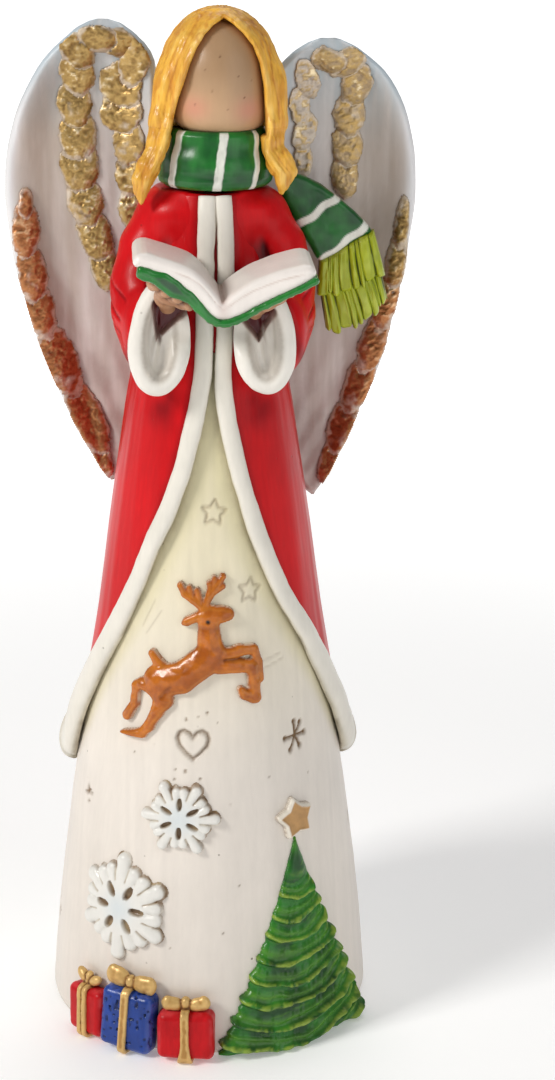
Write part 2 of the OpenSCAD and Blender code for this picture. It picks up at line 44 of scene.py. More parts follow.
RAD = math.pi / 180
BINARY = (0, 1)


def node_box(name):
    """Lowest and highest corner of a CAD node, in millimetres."""
    lo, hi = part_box(name)
    return np.array(lo) / MM, np.array(hi) / MM


# ---- noise -------------------------------------------------------------------

def vnoise(p, seed=0):
    """Smooth value noise from -1 to 1 at points p, one lattice cell per unit."""
    q = np.floor(p).astype(np.int64)
    f = p - q
    u = f * f * f * (f * (f * 6 - 15) + 10)

    def corner(dx, dy, dz):
        n = ((q[:, 0] + dx) * 73856093) ^ ((q[:, 1] + dy) * 19349663) ^ ((q[:, 2] + dz) * 83492791)
        n = (n ^ (seed * 7919 + 12345)) & 0x7FFFFFFF
        n = ((n ^ (n >> 13)) * 1274126177) & 0x7FFFFFFF
        n = ((n ^ (n >> 15)) * 668265263) & 0x7FFFFFFF
        return ((n >> 7) & 0xFFFF) / 32767.5 - 1

    out = 0
    for dx in BINARY:
        wx = u[:, 0] if dx else 1 - u[:, 0]
        for dy in BINARY:
            wy = wx * (u[:, 1] if dy else 1 - u[:, 1])
            for dz in BINARY:
                out = out + wy * (u[:, 2] if dz else 1 - u[:, 2]) * corner(dx, dy, dz)
    return out


def noise2(a, b, seed, third=0.0):
    """Value noise over two coordinates, one lattice cell per unit, in the shape of a."""
    P = np.stack([np.ravel(a), np.ravel(b), np.full(np.size(a), float(third))], 1)
    return vnoise(P, seed).reshape(np.shape(a))


def fbm(p, size, octaves=3, seed=0, stretch=(1, 1, 1)):
    """Sum of noise octaves; size is the widest feature in millimetres."""
    q = np.asarray(p, float) / (size * np.array(stretch, float))
    out, amp = 0, 1.0
    for i in range(octaves):
        out = out + amp * vnoise(q, seed + i)
        q, amp = q * 2.03 + 11.7, amp * 0.5
    return out


def ease(x):
    """Smooth step from 0 at x = 0 to 1 at x = 1."""
    t = np.clip(x, 0, 1)
    return t * t * (3 - 2 * t)


def bump(x, w):
    """Smooth hump, 1 at x = 0 and 0 beyond w."""
    return ease(1 - np.abs(x) / w)


def arc(t):
    """Height of a quarter circle: 1 at t = 0, 0 at t = 1."""
    return np.sqrt(np.clip(1 - t ** 2, 0, 1))


# ---- signed distances (negative inside), all in millimetres ------------------

def smin(a, b, k):
    """Union of two shapes with a fillet of size k."""
    h = np.clip(0.5 + 0.5 * (b - a) / k, 0, 1)
    return b + (a - b) * h - k * h * (1 - h)


def smax(a, b, k):
    """Intersection of two shapes with a rounded edge of size k."""
    return -smin(-a, -b, k)


def capsule(p, a, b, ra, rb):
    """Round-ended rod from a to b whose radius goes from ra to rb."""
    a, b = np.array(a, float), np.array(b, float)
    d = b - a
    t = np.clip((p - a) @ d / max(d @ d, 1e-9), 0, 1)
    return np.linalg.norm(p - a - t[:, None] * d, axis=1) - (ra + (rb - ra) * t)


def ellipsoid(p, c, r):
    """Ellipsoid about c with half axes r."""
    q = (p - np.array(c, float)) / np.array(r, float)
    k0 = np.linalg.norm(q, axis=1)
    k1 = np.linalg.norm(q / np.array(r, float), axis=1)
    return k0 * (k0 - 1) / np.maximum(k1, 1e-6)


def rod(p, pts, radii, k):
    """Rod through points with a radius at each, its parts joined with fillets of size k."""
    out = None
    for i in range(len(pts) - 1):
        d = capsule(p, pts[i], pts[i + 1], radii[i], radii[i + 1])
        out = d if out is None else smin(out, d, k)
    return out


def rbox(p, half, r):
    """Box with half sizes half and edges rounded to r."""
    q = np.abs(p) - (np.array(half, float) - r)
    return np.linalg.norm(np.maximum(q, 0), axis=1) + np.minimum(q.max(axis=1), 0) - r


def turned(u, v, angle):
    """Coordinates seen from axes turned by angle radians."""
    c, s = math.cos(angle), math.sin(angle)
    return u * c + v * s, -u * s + v * c


# ---- meshes ------------------------------------------------------------------

def surface(f, lo, hi, h, newton=2):
    """Closed quad mesh of f = 0 by surface nets on a grid of step h."""
    lo, hi = np.array(lo, float) - 2.5 * h, np.array(hi, float) + 2.5 * h
    # blocks of 4 steps are tested at their middles, and only those near the surface are filled in
    c = 4
    chunk = 400000
    nb = np.ceil((hi - lo) / (c * h)).astype(int)
    n = nb * c + 1
    bc = [lo[i] + c * h * (np.arange(nb[i]) + 0.5) for i in range(3)]
    fb = f(np.stack(np.meshgrid(*bc, indexing="ij"), -1).reshape(-1, 3)).reshape(nb)

    def spread(blocks):
        for axis in range(3):
            blocks = np.repeat(blocks, c, axis)
        return blocks

    F = np.full(n, 1e3, np.float64)
    F[:-1, :-1, :-1] = spread(fb)
    mask = np.zeros(n, bool)
    mask[:-1, :-1, :-1] = spread(np.abs(fb) < 2.2 * c * h)
    pts = lo + np.argwhere(mask) * h
    F[mask] = np.concatenate([f(pts[i:i + chunk]) for i in range(0, len(pts), chunk)])
    S = F < 0
    cnt = np.zeros(n - 1, np.int8)
    for dx in BINARY:
        for dy in BINARY:
            for dz in BINARY:
                cnt += S[dx:n[0] - 1 + dx, dy:n[1] - 1 + dy, dz:n[2] - 1 + dz]
    act = (cnt > 0) & (cnt < 8)
    cells = np.argwhere(act)
    number = np.full(n - 1, -1, np.int64)
    number[act] = np.arange(len(cells))
    # a vertex for each cell that the surface crosses, at the mean of its edges' crossings
    acc = np.zeros((len(cells), 3))
    num = np.zeros(len(cells))
    for axis in range(3):
        o1, o2 = [i for i in range(3) if i != axis]
        for da in BINARY:
            for db in BINARY:
                a = cells.copy()
                a[:, o1] += da
                a[:, o2] += db
                b = a.copy()
                b[:, axis] += 1
                fa, fz = F[tuple(a.T)], F[tuple(b.T)]
                cross = (fa < 0) != (fz < 0)
                q = a.astype(float)
                q[:, axis] += np.where(cross, fa / np.where(cross, fa - fz, 1), 0)
                acc[cross] += q[cross]
                num[cross] += 1
    V = lo + acc / num[:, None] * h
    # a quad round each grid edge that the surface crosses
    quads = []
    for axis in range(3):
        o1, o2 = (axis + 1) % 3, (axis + 2) % 3
        first = [slice(None)] * 3
        second = list(first)
        first[axis], second[axis] = slice(0, n[axis] - 1), slice(1, n[axis])
        e = np.argwhere(S[tuple(first)] != S[tuple(second)])
        e = e[(e[:, o1] > 0) & (e[:, o2] > 0) & (e[:, o1] < n[o1] - 1) & (e[:, o2] < n[o2] - 1)]
        outside_first = ~S[tuple(e.T)]

        def cell(d1, d2):
            k = e.copy()
            k[:, o1] -= d1
            k[:, o2] -= d2
            return number[tuple(k.T)]

        q = np.stack([cell(1, 1), cell(0, 1), cell(0, 0), cell(1, 0)], 1)
        q[outside_first] = q[outside_first][:, ::-1]
        quads.append(q)
    for _ in range(newton):
        d, g = f(V), gradient(f, V)
        step = (d / np.maximum((g * g).sum(1), 0.09))[:, None] * g
        size = np.linalg.norm(step, axis=1, keepdims=True)
        V = V - step * np.minimum(1, h * 0.6 / np.maximum(size, 1e-9))
    return V, np.concatenate(quads)


def gradient(f, V, e=0.04):
    """Slope of f at points, from differences over e."""
    g = np.empty_like(V)
    for i in range(3):
        d = np.zeros(3)
        d[i] = e
        g[:, i] = (f(V + d) - f(V - d)) / (2 * e)
    return g


def normals(V, Q):
    """Area-weighted vertex normals of a quad or triangle mesh."""
    n = np.cross(V[Q[:, 2]] - V[Q[:, 0]], V[Q[:, -1]] - V[Q[:, 1]])
    out = np.zeros_like(V)
    for i in range(Q.shape[1]):
        np.add.at(out, Q[:, i], n)
    return out / np.maximum(np.linalg.norm(out, axis=1, keepdims=True), 1e-12)


def edges(Q):
    """Both ends of each side of each face, in the face's direction."""
    k = Q.shape[1]
    return np.concatenate([Q[:, [i, (i + 1) % k]] for i in range(k)])


def hollow(V, Q, rounds=3):
    """How far each vertex lies in a hollow (+) or on a ridge (-), in mm, softened."""
    N = normals(V, Q)
    a, b = edges(Q).T
    count = np.bincount(a, minlength=len(V)) + np.bincount(b, minlength=len(V))

    def mean(A):
        out = np.stack([np.bincount(a, A[b, i], len(V)) + np.bincount(b, A[a, i], len(V))
                        for i in range(A.shape[1])], 1)
        return out / np.maximum(count, 1)[:, None]

    S = V
    for _ in range(rounds):
        S = mean(S)
    c = ((S - V) * N).sum(1)[:, None]
    for _ in range(2):
        c = 0.5 * c + 0.5 * mean(c)
    return c[:, 0]


def grid_faces(rows, cols, wrap=True):
    """Quads of a grid of vertices, closed from the last column to the first if it wraps."""
    i = np.arange(rows - 1)[:, None] * cols
    j = np.arange(cols if wrap else cols - 1)[None, :]
    k = (j + 1) % cols
    return np.stack([i + j, i + k, i + cols + k, i + cols + j], -1).reshape(-1, 4)


def fan(hub, first, m):
    """Triangles from a vertex to a ring of m vertices that starts at first."""
    j = np.arange(m)
    return np.stack([np.full(m, hub), first + j, first + (j + 1) % m], 1)


def loft(rings):
    """Closed mesh through rings of equal length, ends closed with fans."""
    R = np.array(rings, float)
    n, m = R.shape[:2]
    V = np.concatenate([R.reshape(-1, 3), [R[0].mean(0), R[-1].mean(0)]])
    T = np.concatenate([fan(n * m, 0, m)[:, [0, 2, 1]], fan(n * m + 1, (n - 1) * m, m)])
    return V, grid_faces(n, m), T


def spline(pts, n):
    """Smooth curve through points, n samples evenly spaced along it."""
    P = np.array(pts, float)
    P = np.concatenate([[2 * P[0] - P[1]], P, [2 * P[-1] - P[-2]]])
    out = []
    for i in range(1, len(P) - 2):
        t = np.linspace(0, 1, 24, endpoint=False)[:, None]
        a, b, c, d = P[i - 1], P[i], P[i + 1], P[i + 2]
        out.append(0.5 * (2 * b + (c - a) * t + (2 * a - 5 * b + 4 * c - d) * t ** 2
                          + (3 * b - 3 * c + d - a) * t ** 3))
    C = np.concatenate(out + [P[-2:-1]])
    s = np.concatenate([[0], np.cumsum(np.linalg.norm(np.diff(C, axis=0), axis=1))])
    u = np.linspace(0, s[-1], n)
    return np.stack([np.interp(u, s, C[:, i]) for i in range(C.shape[1])], 1)


def slab(keep, top, under, wrap=False):
    """Closed mesh of a height field: cells whose four corners are kept, with sides."""
    q = grid_faces(*keep.shape, wrap)
    q = q[keep.ravel()[q].all(1)]
    used = np.unique(q)
    m = len(used)
    new = np.full(keep.size, -1)
    new[used] = np.arange(m)
    q = new[q]
    E = edges(q)
    # a side that no other face shares lies on the border
    border = E[~np.isin(E[:, 0] * (m + 1) + E[:, 1], E[:, 1] * (m + 1) + E[:, 0])]
    sides = np.stack([border[:, 1], border[:, 0], border[:, 0] + m, border[:, 1] + m], 1)
    V = np.concatenate([top.reshape(-1, 3)[used], under.reshape(-1, 3)[used]])
    return V, np.concatenate([q, q[:, ::-1] + m, sides]), used


def both_faces(values, used):
    """Values of a height field's points for the vertices of its slab."""
    return np.concatenate([values.ravel()[used]] * 2)


def piece(name, V, Q, T, colour, wash, paint_name, node, more=None):
    """Blender object of a closed mesh in mm, with its colour and wash per vertex."""
    faces = [Q] if T is None else [Q, T]
    # faces look outwards: the volume they enclose is positive
    vol = sum((V[f[:, 0]] * np.cross(V[f[:, i]], V[f[:, i + 1]])).sum() for f in faces
              for i in range(1, f.shape[1] - 1))
    if vol < 0:
        faces = [f[:, ::-1] for f in faces]
    me = bpy.data.meshes.new(name)
    loops = np.concatenate([f.ravel() for f in faces]).astype(np.int32)
    sizes = np.concatenate([np.full(len(f), f.shape[1]) for f in faces]).astype(np.int32)
    starts = np.concatenate([[0], np.cumsum(sizes)[:-1]]).astype(np.int32)
    me.vertices.add(len(V))
    me.vertices.foreach_set("co", (V * MM).astype(np.float32).ravel())
    me.loops.add(len(loops))
    me.loops.foreach_set("vertex_index", loops)
    me.polygons.add(len(sizes))
    me.polygons.foreach_set("loop_start", starts)
    me.polygons.foreach_set("loop_total", sizes)
    me.update(calc_edges=True)
    me.validate()
    me.polygons.foreach_set("use_smooth", np.ones(len(me.polygons), bool))
    col = np.ones((len(V), 4), np.float32)
    col[:, :3] = colour
    me.color_attributes.new("Col", "FLOAT_COLOR", "POINT").data.foreach_set("color", col.ravel())
    for key, values in {"wash": wash, **(more or {})}.items():
        values = np.broadcast_to(values, (len(V),)).astype(np.float32)
        me.attributes.new(key, "FLOAT", "POINT").data.foreach_set("value", values)
    ob = bpy.data.objects.new(name, me)
    bpy.context.scene.collection.objects.link(ob)
    slot, material = PAINTS[paint_name]
    me.materials.append(material)
    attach(ob, "root")
    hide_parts(node)


# ---- paint -------------------------------------------------------------------

def mix(a, b, t):
    """Colour between a and b for each point: a at t = 0, b at t = 1."""
    a, b, t = np.asarray(a, float), np.asarray(b, float), np.asarray(t, float)
    return a + (b - a) * t[..., None]


def tinted(colour, P, size, amount, seed, octaves=3, stretch=(1, 1, 1)):
    """Colour at each point, lighter and darker by a gentle drift."""
    return np.asarray(colour) * (1 + amount * fbm(P, size, octaves, seed, stretch))[:, None]


def put(tree, socket, value):
    """Feed an input from another node's output, or set its own value."""
    if isinstance(value, bpy.types.NodeSocket):
        tree.links.new(value, socket)
    else:
        socket.default_value = value


def add_node(tree, kind, **values):
    """New shader node; a value is one of its settings or, with _ for a space, one of its inputs."""
    n = tree.nodes.new("ShaderNode" + kind)
    for key, value in values.items():
        if hasattr(n, key):
            setattr(n, key, value)
        else:
            put(tree, n.inputs[key.replace("_", " ")], value)
    return n


def paint(name, rough=0.34, coat=0.25, streak=0.06, spots=0.0, wash=(0.20, 0.12, 0.05), grain=0.4,
          metal=0.0, stretch=(1, 1, 0.18), scale=260, spec=0.35):
    """Hand-brushed paint on cast resin: colour from the mesh, brush streaks, wash in hollows."""
    m = bpy.data.materials.new(name)
    m.use_nodes = True
    t = m.node_tree
    t.nodes.clear()
    place = add_node(t, "TexCoord").outputs["Object"]

    def field(attribute, output="Fac"):
        return add_node(t, "Attribute", attribute_name=attribute).outputs[output]

    def noise(size, detail, roughness=0.5, at=place):
        n = add_node(t, "TexNoise", Vector=at, Scale=size, Detail=detail, Roughness=roughness)
        return n.outputs["Fac"]

    def remap(value, lo, hi, start=0.0, end=1.0):
        n = add_node(t, "MapRange", Value=value, From_Min=start, From_Max=end, To_Min=lo, To_Max=hi)
        return n.outputs["Result"]

    def calc(operation, a, b, clamp=False):
        n = add_node(t, "Math", operation=operation, use_clamp=clamp)
        put(t, n.inputs[0], a)
        put(t, n.inputs[1], b)
        return n.outputs["Value"]

    def blend(how, a, b, factor):
        n = add_node(t, "Mix", data_type="RGBA", blend_type=how)
        # inputs 6 and 7 and output 2 of a Mix node are its colours
        for i, value in ((0, factor), (6, a), (7, b)):
            put(t, n.inputs[i], value)
        return n.outputs[2]

    # long strokes that follow the piece, and a softer mottling
    along = add_node(t, "Mapping", Vector=place, Scale=stretch).outputs["Vector"]
    stroke = noise(scale * 4, 3.0, 0.6, along)
    mottle = noise(scale * 0.35, 3.0, 0.55)
    tone = calc("MULTIPLY", remap(stroke, 1 - streak * 1.6, 1 + streak * 1.6),
                remap(mottle, 1 - streak * 1.3, 1 + streak * 1.3))
    shade = add_node(t, "VectorMath", operation="SCALE", Vector=field("Col", "Color"), Scale=tone)
    # brown wash, broken up by noise
    broken = remap(noise(scale * 5, 2.0), 0.55, 1.35)
    colour = blend("MULTIPLY", shade.outputs["Vector"], (*wash, 1),
                   calc("MULTIPLY", field("wash"), broken, True))
    height = calc("MULTIPLY", stroke, grain)
    if spots:
        # casting pinholes, dark and sunk
        cells = add_node(t, "TexVoronoi", Vector=place, Scale=scale * 0.9, Randomness=1.0)
        rare = remap(noise(scale * 0.16, 1.0), 0.0, 1.0, 0.56, 0.66)
        holes = calc("MULTIPLY", remap(cells.outputs["Distance"], 1.0, 0.0, 0.045, 0.075), rare, True)
        colour = blend("MIX", colour, (*(k * 0.45 for k in wash), 1), calc("MULTIPLY", holes, spots, True))
        height = calc("SUBTRACT", height, holes)
    relief = add_node(t, "Bump", Strength=0.5, Distance=0.00018, Height=height).outputs["Normal"]
    gloss = remap(mottle, rough - 0.07, rough + 0.09)
    b = add_node(t, "BsdfPrincipled", Base_Color=colour, Roughness=gloss, IOR=1.5, Specular_IOR_Level=spec,
                 Coat_Weight=coat, Coat_Roughness=0.12, Normal=relief, Coat_Normal=relief)
    if metal:
        shine = remap(noise(scale * 9, 2.0), metal * 0.75, metal * 1.2)
        put(t, b.inputs["Metallic"], calc("MULTIPLY", field("metal"), shine, True))
    add_node(t, "OutputMaterial", Surface=b.outputs["BSDF"])
    return m


EVEN = (1, 1, 1)
PAINTS = {  # the slot each paint fills, and its material
    "gown": ("gown_paint", paint("gown_cream", rough=0.42, coat=0.08, streak=0.03, spots=0.8,
                                 wash=(0.24, 0.15, 0.07))),
    "felt": ("felt", paint("felt", rough=0.9, coat=0.0, streak=0.12, scale=900, grain=1.0, stretch=EVEN)),
    "coat": ("coat_paint", paint("coat_red", rough=0.32, coat=0.05, spec=0.12, streak=0.10, spots=0.35,
                                 wash=(0.22, 0.04, 0.03), stretch=(1, 1, 0.12))),
    "trim": ("trim_paint", paint("trim_white", rough=0.38, coat=0.12, streak=0.04, spots=0.7,
                                 wash=(0.20, 0.13, 0.05))),
    "skin": ("skin_paint", paint("skin_tan", rough=0.42, coat=0.06, streak=0.03, spots=0.8,
                                 wash=(0.25, 0.12, 0.05))),
    "hair": ("hair_paint", paint("hair_gold", rough=0.36, coat=0.12, spec=0.3, streak=0.16,
                                 wash=(0.42, 0.13, 0.02), scale=330)),
    "scarf": ("scarf_paint", paint("scarf_green", rough=0.30, coat=0.14, streak=0.12,
                                   wash=(0.05, 0.07, 0.03))),
    "fringe": ("fringe_paint", paint("fringe_lime", rough=0.32, coat=0.14, streak=0.12,
                                     wash=(0.11, 0.13, 0.02))),
    "page": ("page_paint", paint("page_white", rough=0.38, coat=0.12, streak=0.03, wash=(0.30, 0.17, 0.09))),
    "cover": ("cover_paint", paint("cover_green", rough=0.26, coat=0.5, streak=0.12,
                                   wash=(0.03, 0.06, 0.02))),
    "wing": ("wing_paint", paint("wing_white", rough=0.40, coat=0.2, streak=0.04, spots=0.5,
                                 wash=(0.30, 0.17, 0.12))),
    "gold": ("gilding", paint("gilt", rough=0.42, coat=0.05, streak=0.16, wash=(0.16, 0.08, 0.03),
                              metal=0.95, scale=420, stretch=EVEN, grain=0.7)),
    "copper": ("copper_gilding", paint("copper_gilt", rough=0.42, coat=0.05, streak=0.18,
                                       wash=(0.16, 0.06, 0.03), metal=0.95, scale=420, stretch=EVEN,
                                       grain=0.7)),
    "deer": ("deer_paint", paint("deer_brown", rough=0.24, coat=0.22, spec=0.3, streak=0.16,
                                 wash=(0.16, 0.06, 0.02), stretch=EVEN)),
    "snow": ("snow_paint", paint("snow_white", rough=0.38, coat=0.25, streak=0.03, spots=0.3,
                                 wash=(0.32, 0.19, 0.08))),
    "tree": ("tree_paint", paint("tree_green", rough=0.32, coat=0.12, streak=0.16, wash=(0.02, 0.05, 0.02),
                                 stretch=(0.4, 0.4, 1))),
    "red": ("gift_red", paint("gift_red", rough=0.34, coat=0.06, spec=0.14, streak=0.12, spots=0.6,
                              wash=(0.2, 0.05, 0.03))),
    "blue": ("gift_blue", paint("gift_blue", rough=0.34, coat=0.10, streak=0.14, spots=1.0,
                                wash=(0.12, 0.08, 0.1))),
    "bow": ("gilding", paint("bow_gold", rough=0.36, coat=0.10, streak=0.10, wash=(0.25, 0.13, 0.05),
                             metal=0.6, stretch=EVEN)),
}


# ---- body profile, millimetres, as in the CAD --------------------------------

GOWN = np.array([[0.5, 36.6], [2, 37.2], [9.5, 36.6], [20, 35.7], [31, 34.5], [41, 33.2], [51, 31.9],
                 [75, 28.2], [100, 24], [125, 20], [150, 16], [165, 13], [180, 11.4], [188, 9.6], [192, 9]])
COAT = np.array([[57, 32.2], [66, 30.8], [76, 29.2], [86.5, 27.3], [96, 25.7], [106, 24.3], [115.5, 23],
                 [143.6, 18.8], [154, 16.9], [165, 15], [178, 13.6], [188, 11.8], [192, 10.4]])
TRIM_L = np.array([[4.5, 191], [5.5, 180], [6.4, 168], [6.3, 159], [7.2, 154], [9.3, 149], [12.2, 144],
                   [15.4, 139], [19.1, 133], [23.4, 128], [28.5, 122.5], [35.6, 116], [46.0, 105],
                   [56, 96], [67, 86.5], [77, 77.5], [84.5, 69.5], [90, 65], [96, 62.6], [103, 61.6],
                   [110, 61.2]], float)
TRIM_R = np.array([[13, 191], [13, 180], [11.4, 168], [9, 159], [7.6, 154], [8, 149], [9.8, 144],
                   [12.4, 139], [15.7, 133], [19.2, 128], [23, 122.5], [28, 116.5], [39, 105],
                   [51.5, 95.5], [62.5, 86.5], [72.5, 77.5], [81.5, 69.5], [88, 65], [95, 62.6], [102, 61.6],
                   [110, 61.2]], float)
HEM = np.array([[98, 62.2], [103, 61.6], [110, 61.2], [122, 61], [140, 61], [160, 61], [180, 61],
                [200, 61], [220, 61], [238, 61], [250, 61.2], [257, 61.6], [262, 62.2]], float)


def r_gown(z):
    return np.interp(z, GOWN[:, 0], GOWN[:, 1])


def r_coat(z):
    return np.interp(z, COAT[:, 0], COAT[:, 1])


def opening(a, z):
    """Angle of the coat's front edge at height z, on the side where angle a lies."""
    left, right = [np.interp(z, path[::-1, 1], path[::-1, 0]) for path in (TRIM_L, TRIM_R)]
    return np.where(a < 0, left, right)


def polar(a, r, z):
    """Point at angle a degrees from the front, radius r, height z."""
    a = np.asarray(a, float) * RAD
    return np.stack([r * np.sin(a), -r * np.cos(a), np.asarray(z, float) + 0 * a], -1)


def around(P):
    """Angle from the front and radius of points."""
    return np.arctan2(P[:, 0], -P[:, 1]) / RAD, np.hypot(P[:, 0], P[:, 1])


# ---- outlines on the gown, in mm from a centre -------------------------------

def cap2(X, Z, a, b, ra=0, rb=None):
    """Distance to a round-ended line from a to b whose radius goes from ra to rb."""
    rb = ra if rb is None else rb
    ax, az, dx, dz = a[0], a[1], b[0] - a[0], b[1] - a[1]
    t = np.clip(((X - ax) * dx + (Z - az) * dz) / max(dx * dx + dz * dz, 1e-9), 0, 1)
    return np.hypot(X - ax - t * dx, Z - az - t * dz) - (ra + (rb - ra) * t)


def poly2(X, Z, pts):
    """Signed distance to a closed outline."""
    d = np.full(X.shape, 1e9)
    inside = np.zeros(X.shape, bool)
    for i, (x0, z0) in enumerate(pts):
        x1, z1 = pts[(i + 1) % len(pts)]
        d = np.minimum(d, cap2(X, Z, (x0, z0), (x1, z1)))
        xc = x0 + (Z - z0) * (x1 - x0) / (z1 - z0 if z1 != z0 else 1e-9)
        inside ^= ((z0 > Z) != (z1 > Z)) & (X < xc)
    return np.where(inside, -d, d)


def star2(X, Z, r, q, turn):
    """Signed distance to a five-pointed star; q is its inner radius as a part of r."""
    corners = [(r if i % 2 == 0 else r * q, (turn + 36 * i) * RAD) for i in range(10)]
    return poly2(X, Z, [(k * math.cos(a), k * math.sin(a)) for k, a in corners])


# ---- gown --------------------------------------------------------------------

CREAM = np.array([0.74, 0.665, 0.47])
WHITE = np.array([0.76, 0.695, 0.625])


def gown_marks(S, Z):
    """Depth of the incised marks, and how dark their wash is, at arc S and height Z."""
    cut = np.zeros(S.shape)
    dark = np.zeros(S.shape)

    def line(d, width, depth, shade):
        np.maximum(cut, depth * bump(d, width), out=cut)
        np.maximum(dark, shade * bump(d, width * 1.25), out=dark)

    def dot(x, z, r, depth=0.5, shade=0.9):
        d = np.hypot(S - x, Z - z)
        np.maximum(cut, depth * bump(d, r), out=cut)
        np.maximum(dark, shade * bump(d, r * 1.05), out=dark)

    def ray(x, z, n, a, back=0.0):
        """End of a ray of length n at angle a, from (x, z) or from as far behind it."""
        e = (n * math.cos(a * RAD), n * math.sin(a * RAD))
        return e, cap2(S - x, Z - z, (-back * e[0], -back * e[1]), e)

    # heart
    x, z = S + 4.8, Z - 72.9
    heart = poly2(x, z, [(0, -3.5), (1.6, -2.2), (3, -0.6), (3.5, 0.9), (3.1, 2.2), (2, 2.8), (0.9, 2.4),
                         (0, 1.3), (-0.9, 2.3), (-2, 2.8), (-3.1, 2.3), (-3.6, 1), (-3.1, -0.6),
                         (-1.7, -2.2)])
    line(heart, 0.7, 0.75, 0.75)
    # spoked mark with ball ends
    mx, mz = 20.1, 71.8
    for a, n in ((96, 3.2), (58, 3.0), (0, 2.9), (180, 3.1), (-62, 2.9), (-118, 3.3)):
        end, spoke = ray(mx, mz, n, a)
        line(spoke, 0.52, 0.6, 1.25)
        dot(mx + end[0], mz + end[1], 0.95, 0.7, 1.4)
    # stars pressed in lightly
    for cx, cz, r, w in ((0.2, 123.8, 2.7, 0.4), (8.2, 106.4, 2.6, 0.36)):
        line(star2(S - cx, Z - cz, r, 0.52, 84) - 0.1, 0.52, 0.42, w)
    # sparkles at the side
    for cx, cz, k, w in ((-35.3, 55.4, 1.0, 1.1), (-52.5, 21.1, 0.9, 0.9), (46, 44, 0.9, 0.5)):
        for a, n in ((90, 2.9), (0, 1.9), (200, 1.6), (-80, 2.2), (40, 1.2)):
            line(ray(cx, cz, k * n, a)[1], 0.34, 0.4, w)
        dot(cx, cz, 0.8, 0.5, w)
    # loose pinholes
    for cx, cz, r in ((-6.3, 78.3, 0.5), (-3.6, 79.1, 0.3), (-1.6, 79.8, 0.5), (0.6, 77.8, 0.3),
                      (-8.9, 66.9, 0.34), (-6.6, 66.6, 0.6), (-9.1, 64.6, 0.36), (-3.3, 65, 0.5),
                      (-14, 71.6, 0.3), (3.4, 59, 0.34), (12.6, 64.2, 0.3), (-19, 69, 0.32),
                      (9.4, 82.2, 0.3), (-26.4, 27, 0.36), (1.6, 29.4, 0.3), (5.3, 40.4, 0.34),
                      (-10.5, 25.6, 0.3), (24, 62.2, 0.3)):
        dot(cx, cz, r, 0.4, 1.1)
    # faint ripple of brushed paint beside the right trim and above the reindeer
    for cx, cz, a in ((12.6, 90.6, 12), (13.6, 89.2, 14), (-15.2, 100.6, 62), (-13.9, 98.8, 55)):
        line(ray(cx, cz, 3.4, a, 1.0)[1], 0.3, 0.16, 0.22)
    return cut, dark


def gown_radius(A, Z):
    """Sculpted surface of the gown."""
    r = r_gown(Z)
    # flats left by the sculptor's tool, running down the gown
    col = A * RAD * 30
    facet = 0.16 * noise2(col / 7.5, Z / 120, 4)
    facet += 0.05 * noise2(col / 2.1, Z / 60, 5)
    facet += 0.05 * fbm(polar(A, r, Z).reshape(-1, 3), 9, 2, 6).reshape(A.shape)
    return r + facet - 0.12


def build_gown():
    front = np.concatenate([np.arange(-100, -60, 1.6), np.arange(-60, 66, 0.66), np.arange(66, 100, 1.6),
                            np.arange(100, 260, 4)])
    zs = np.concatenate([[0.9, 1.4, 2.0, 2.8], np.arange(3.4, 151, 0.45), np.arange(152, 191, 3)])
    A, Z = np.meshgrid(front, zs)
    # the back has no marks, so its arc is put out of their reach
    S = np.where(A > 110, 999, A * RAD * r_gown(Z))
    cut, dark = gown_marks(S, Z)
    R = gown_radius(A, Z) - cut
    # a flat underside with the recess for the felt, a rounded foot and a closed top
    steps = (0.01, 1.25), (33.6, 1.25), (33.65, 0.5), (36.2, 0.5), (36.75, 0.62)
    foot = [polar(front, r, z) for r, z in steps]
    rings = np.concatenate([foot, polar(A, R, Z)])
    n, m = rings.shape[:2]
    V = np.concatenate([rings.reshape(-1, 3), [[0, 0, 190.5]]])
    Q, T = grid_faces(n, m), fan(n * m, (n - 1) * m, m)
    wash = np.concatenate([np.zeros(len(foot) * m), dark.ravel(), [0]])
    # white below and cream above; yellow-green under the trims, part wash and part painted shade
    z = V[:, 2]
    c = mix(WHITE, CREAM, ease((z - 58) / 70))
    c = mix(c, [0.66, 0.60, 0.38], 0.62 * ease((z - 118) / 34))
    a, r = around(V)
    gap = (opening(a, z) - np.abs(a)) * RAD * r
    near = ease(1 - (gap - 3) / 5.5) * ease((z - 60) / 12)
    c = mix(c, [0.62, 0.56, 0.33], 0.6 * near)
    c = tinted(c, V, 14, 0.035, 21)
    streak = noise2(a * r * RAD / 1.3, z / 45, 33)
    c = mix(c, [0.80, 0.66, 0.60], 0.22 * ease(streak * 1.3 - 0.1) * ease((40 - z) / 50))
    c = c * (1 + 0.03 * streak)[:, None]
    wash = wash + 0.12 * near * ease(0.5 + fbm(V, 3, 3, 8)) * ease(1 - (gap - 2.4) / 2.2)
    return piece("gown_body", V, Q, T, c, wash, "gown", "gown")


def build_felt():
    lo, hi = node_box("felt_pad")
    R = (hi[0] - lo[0]) / 2 - 0.1
    a = np.arange(0, 360, 2.0)
    rings = []
    for r, z in ((0.02, 0.06), (R * 0.5, 0.04), (R * 0.97, 0.0), (R, 0.25), (R, 1.05), (R * 0.97, 1.2),
                 (0.02, 1.2)):
        P = polar(a, r, z)
        P[:, 2] += np.maximum(0.05 * vnoise(P / 1.7, 3), 0) if z < 0.2 else 0
        rings.append(P)
    V, Q, T = loft(rings)
    c = tinted([0.055, 0.075, 0.055], V, 1.2, 0.3, 2)
    return piece("felt_foot", V, Q, T, c, None, "felt", "felt_pad")


# ---- coat --------------------------------------------------------------------

RED = np.array([0.53, 0.004, 0.007])
# a darker copy of the red, for painted shade
RED_PAINTED_SHADE = np.array([0.11, 0.002, 0.005])


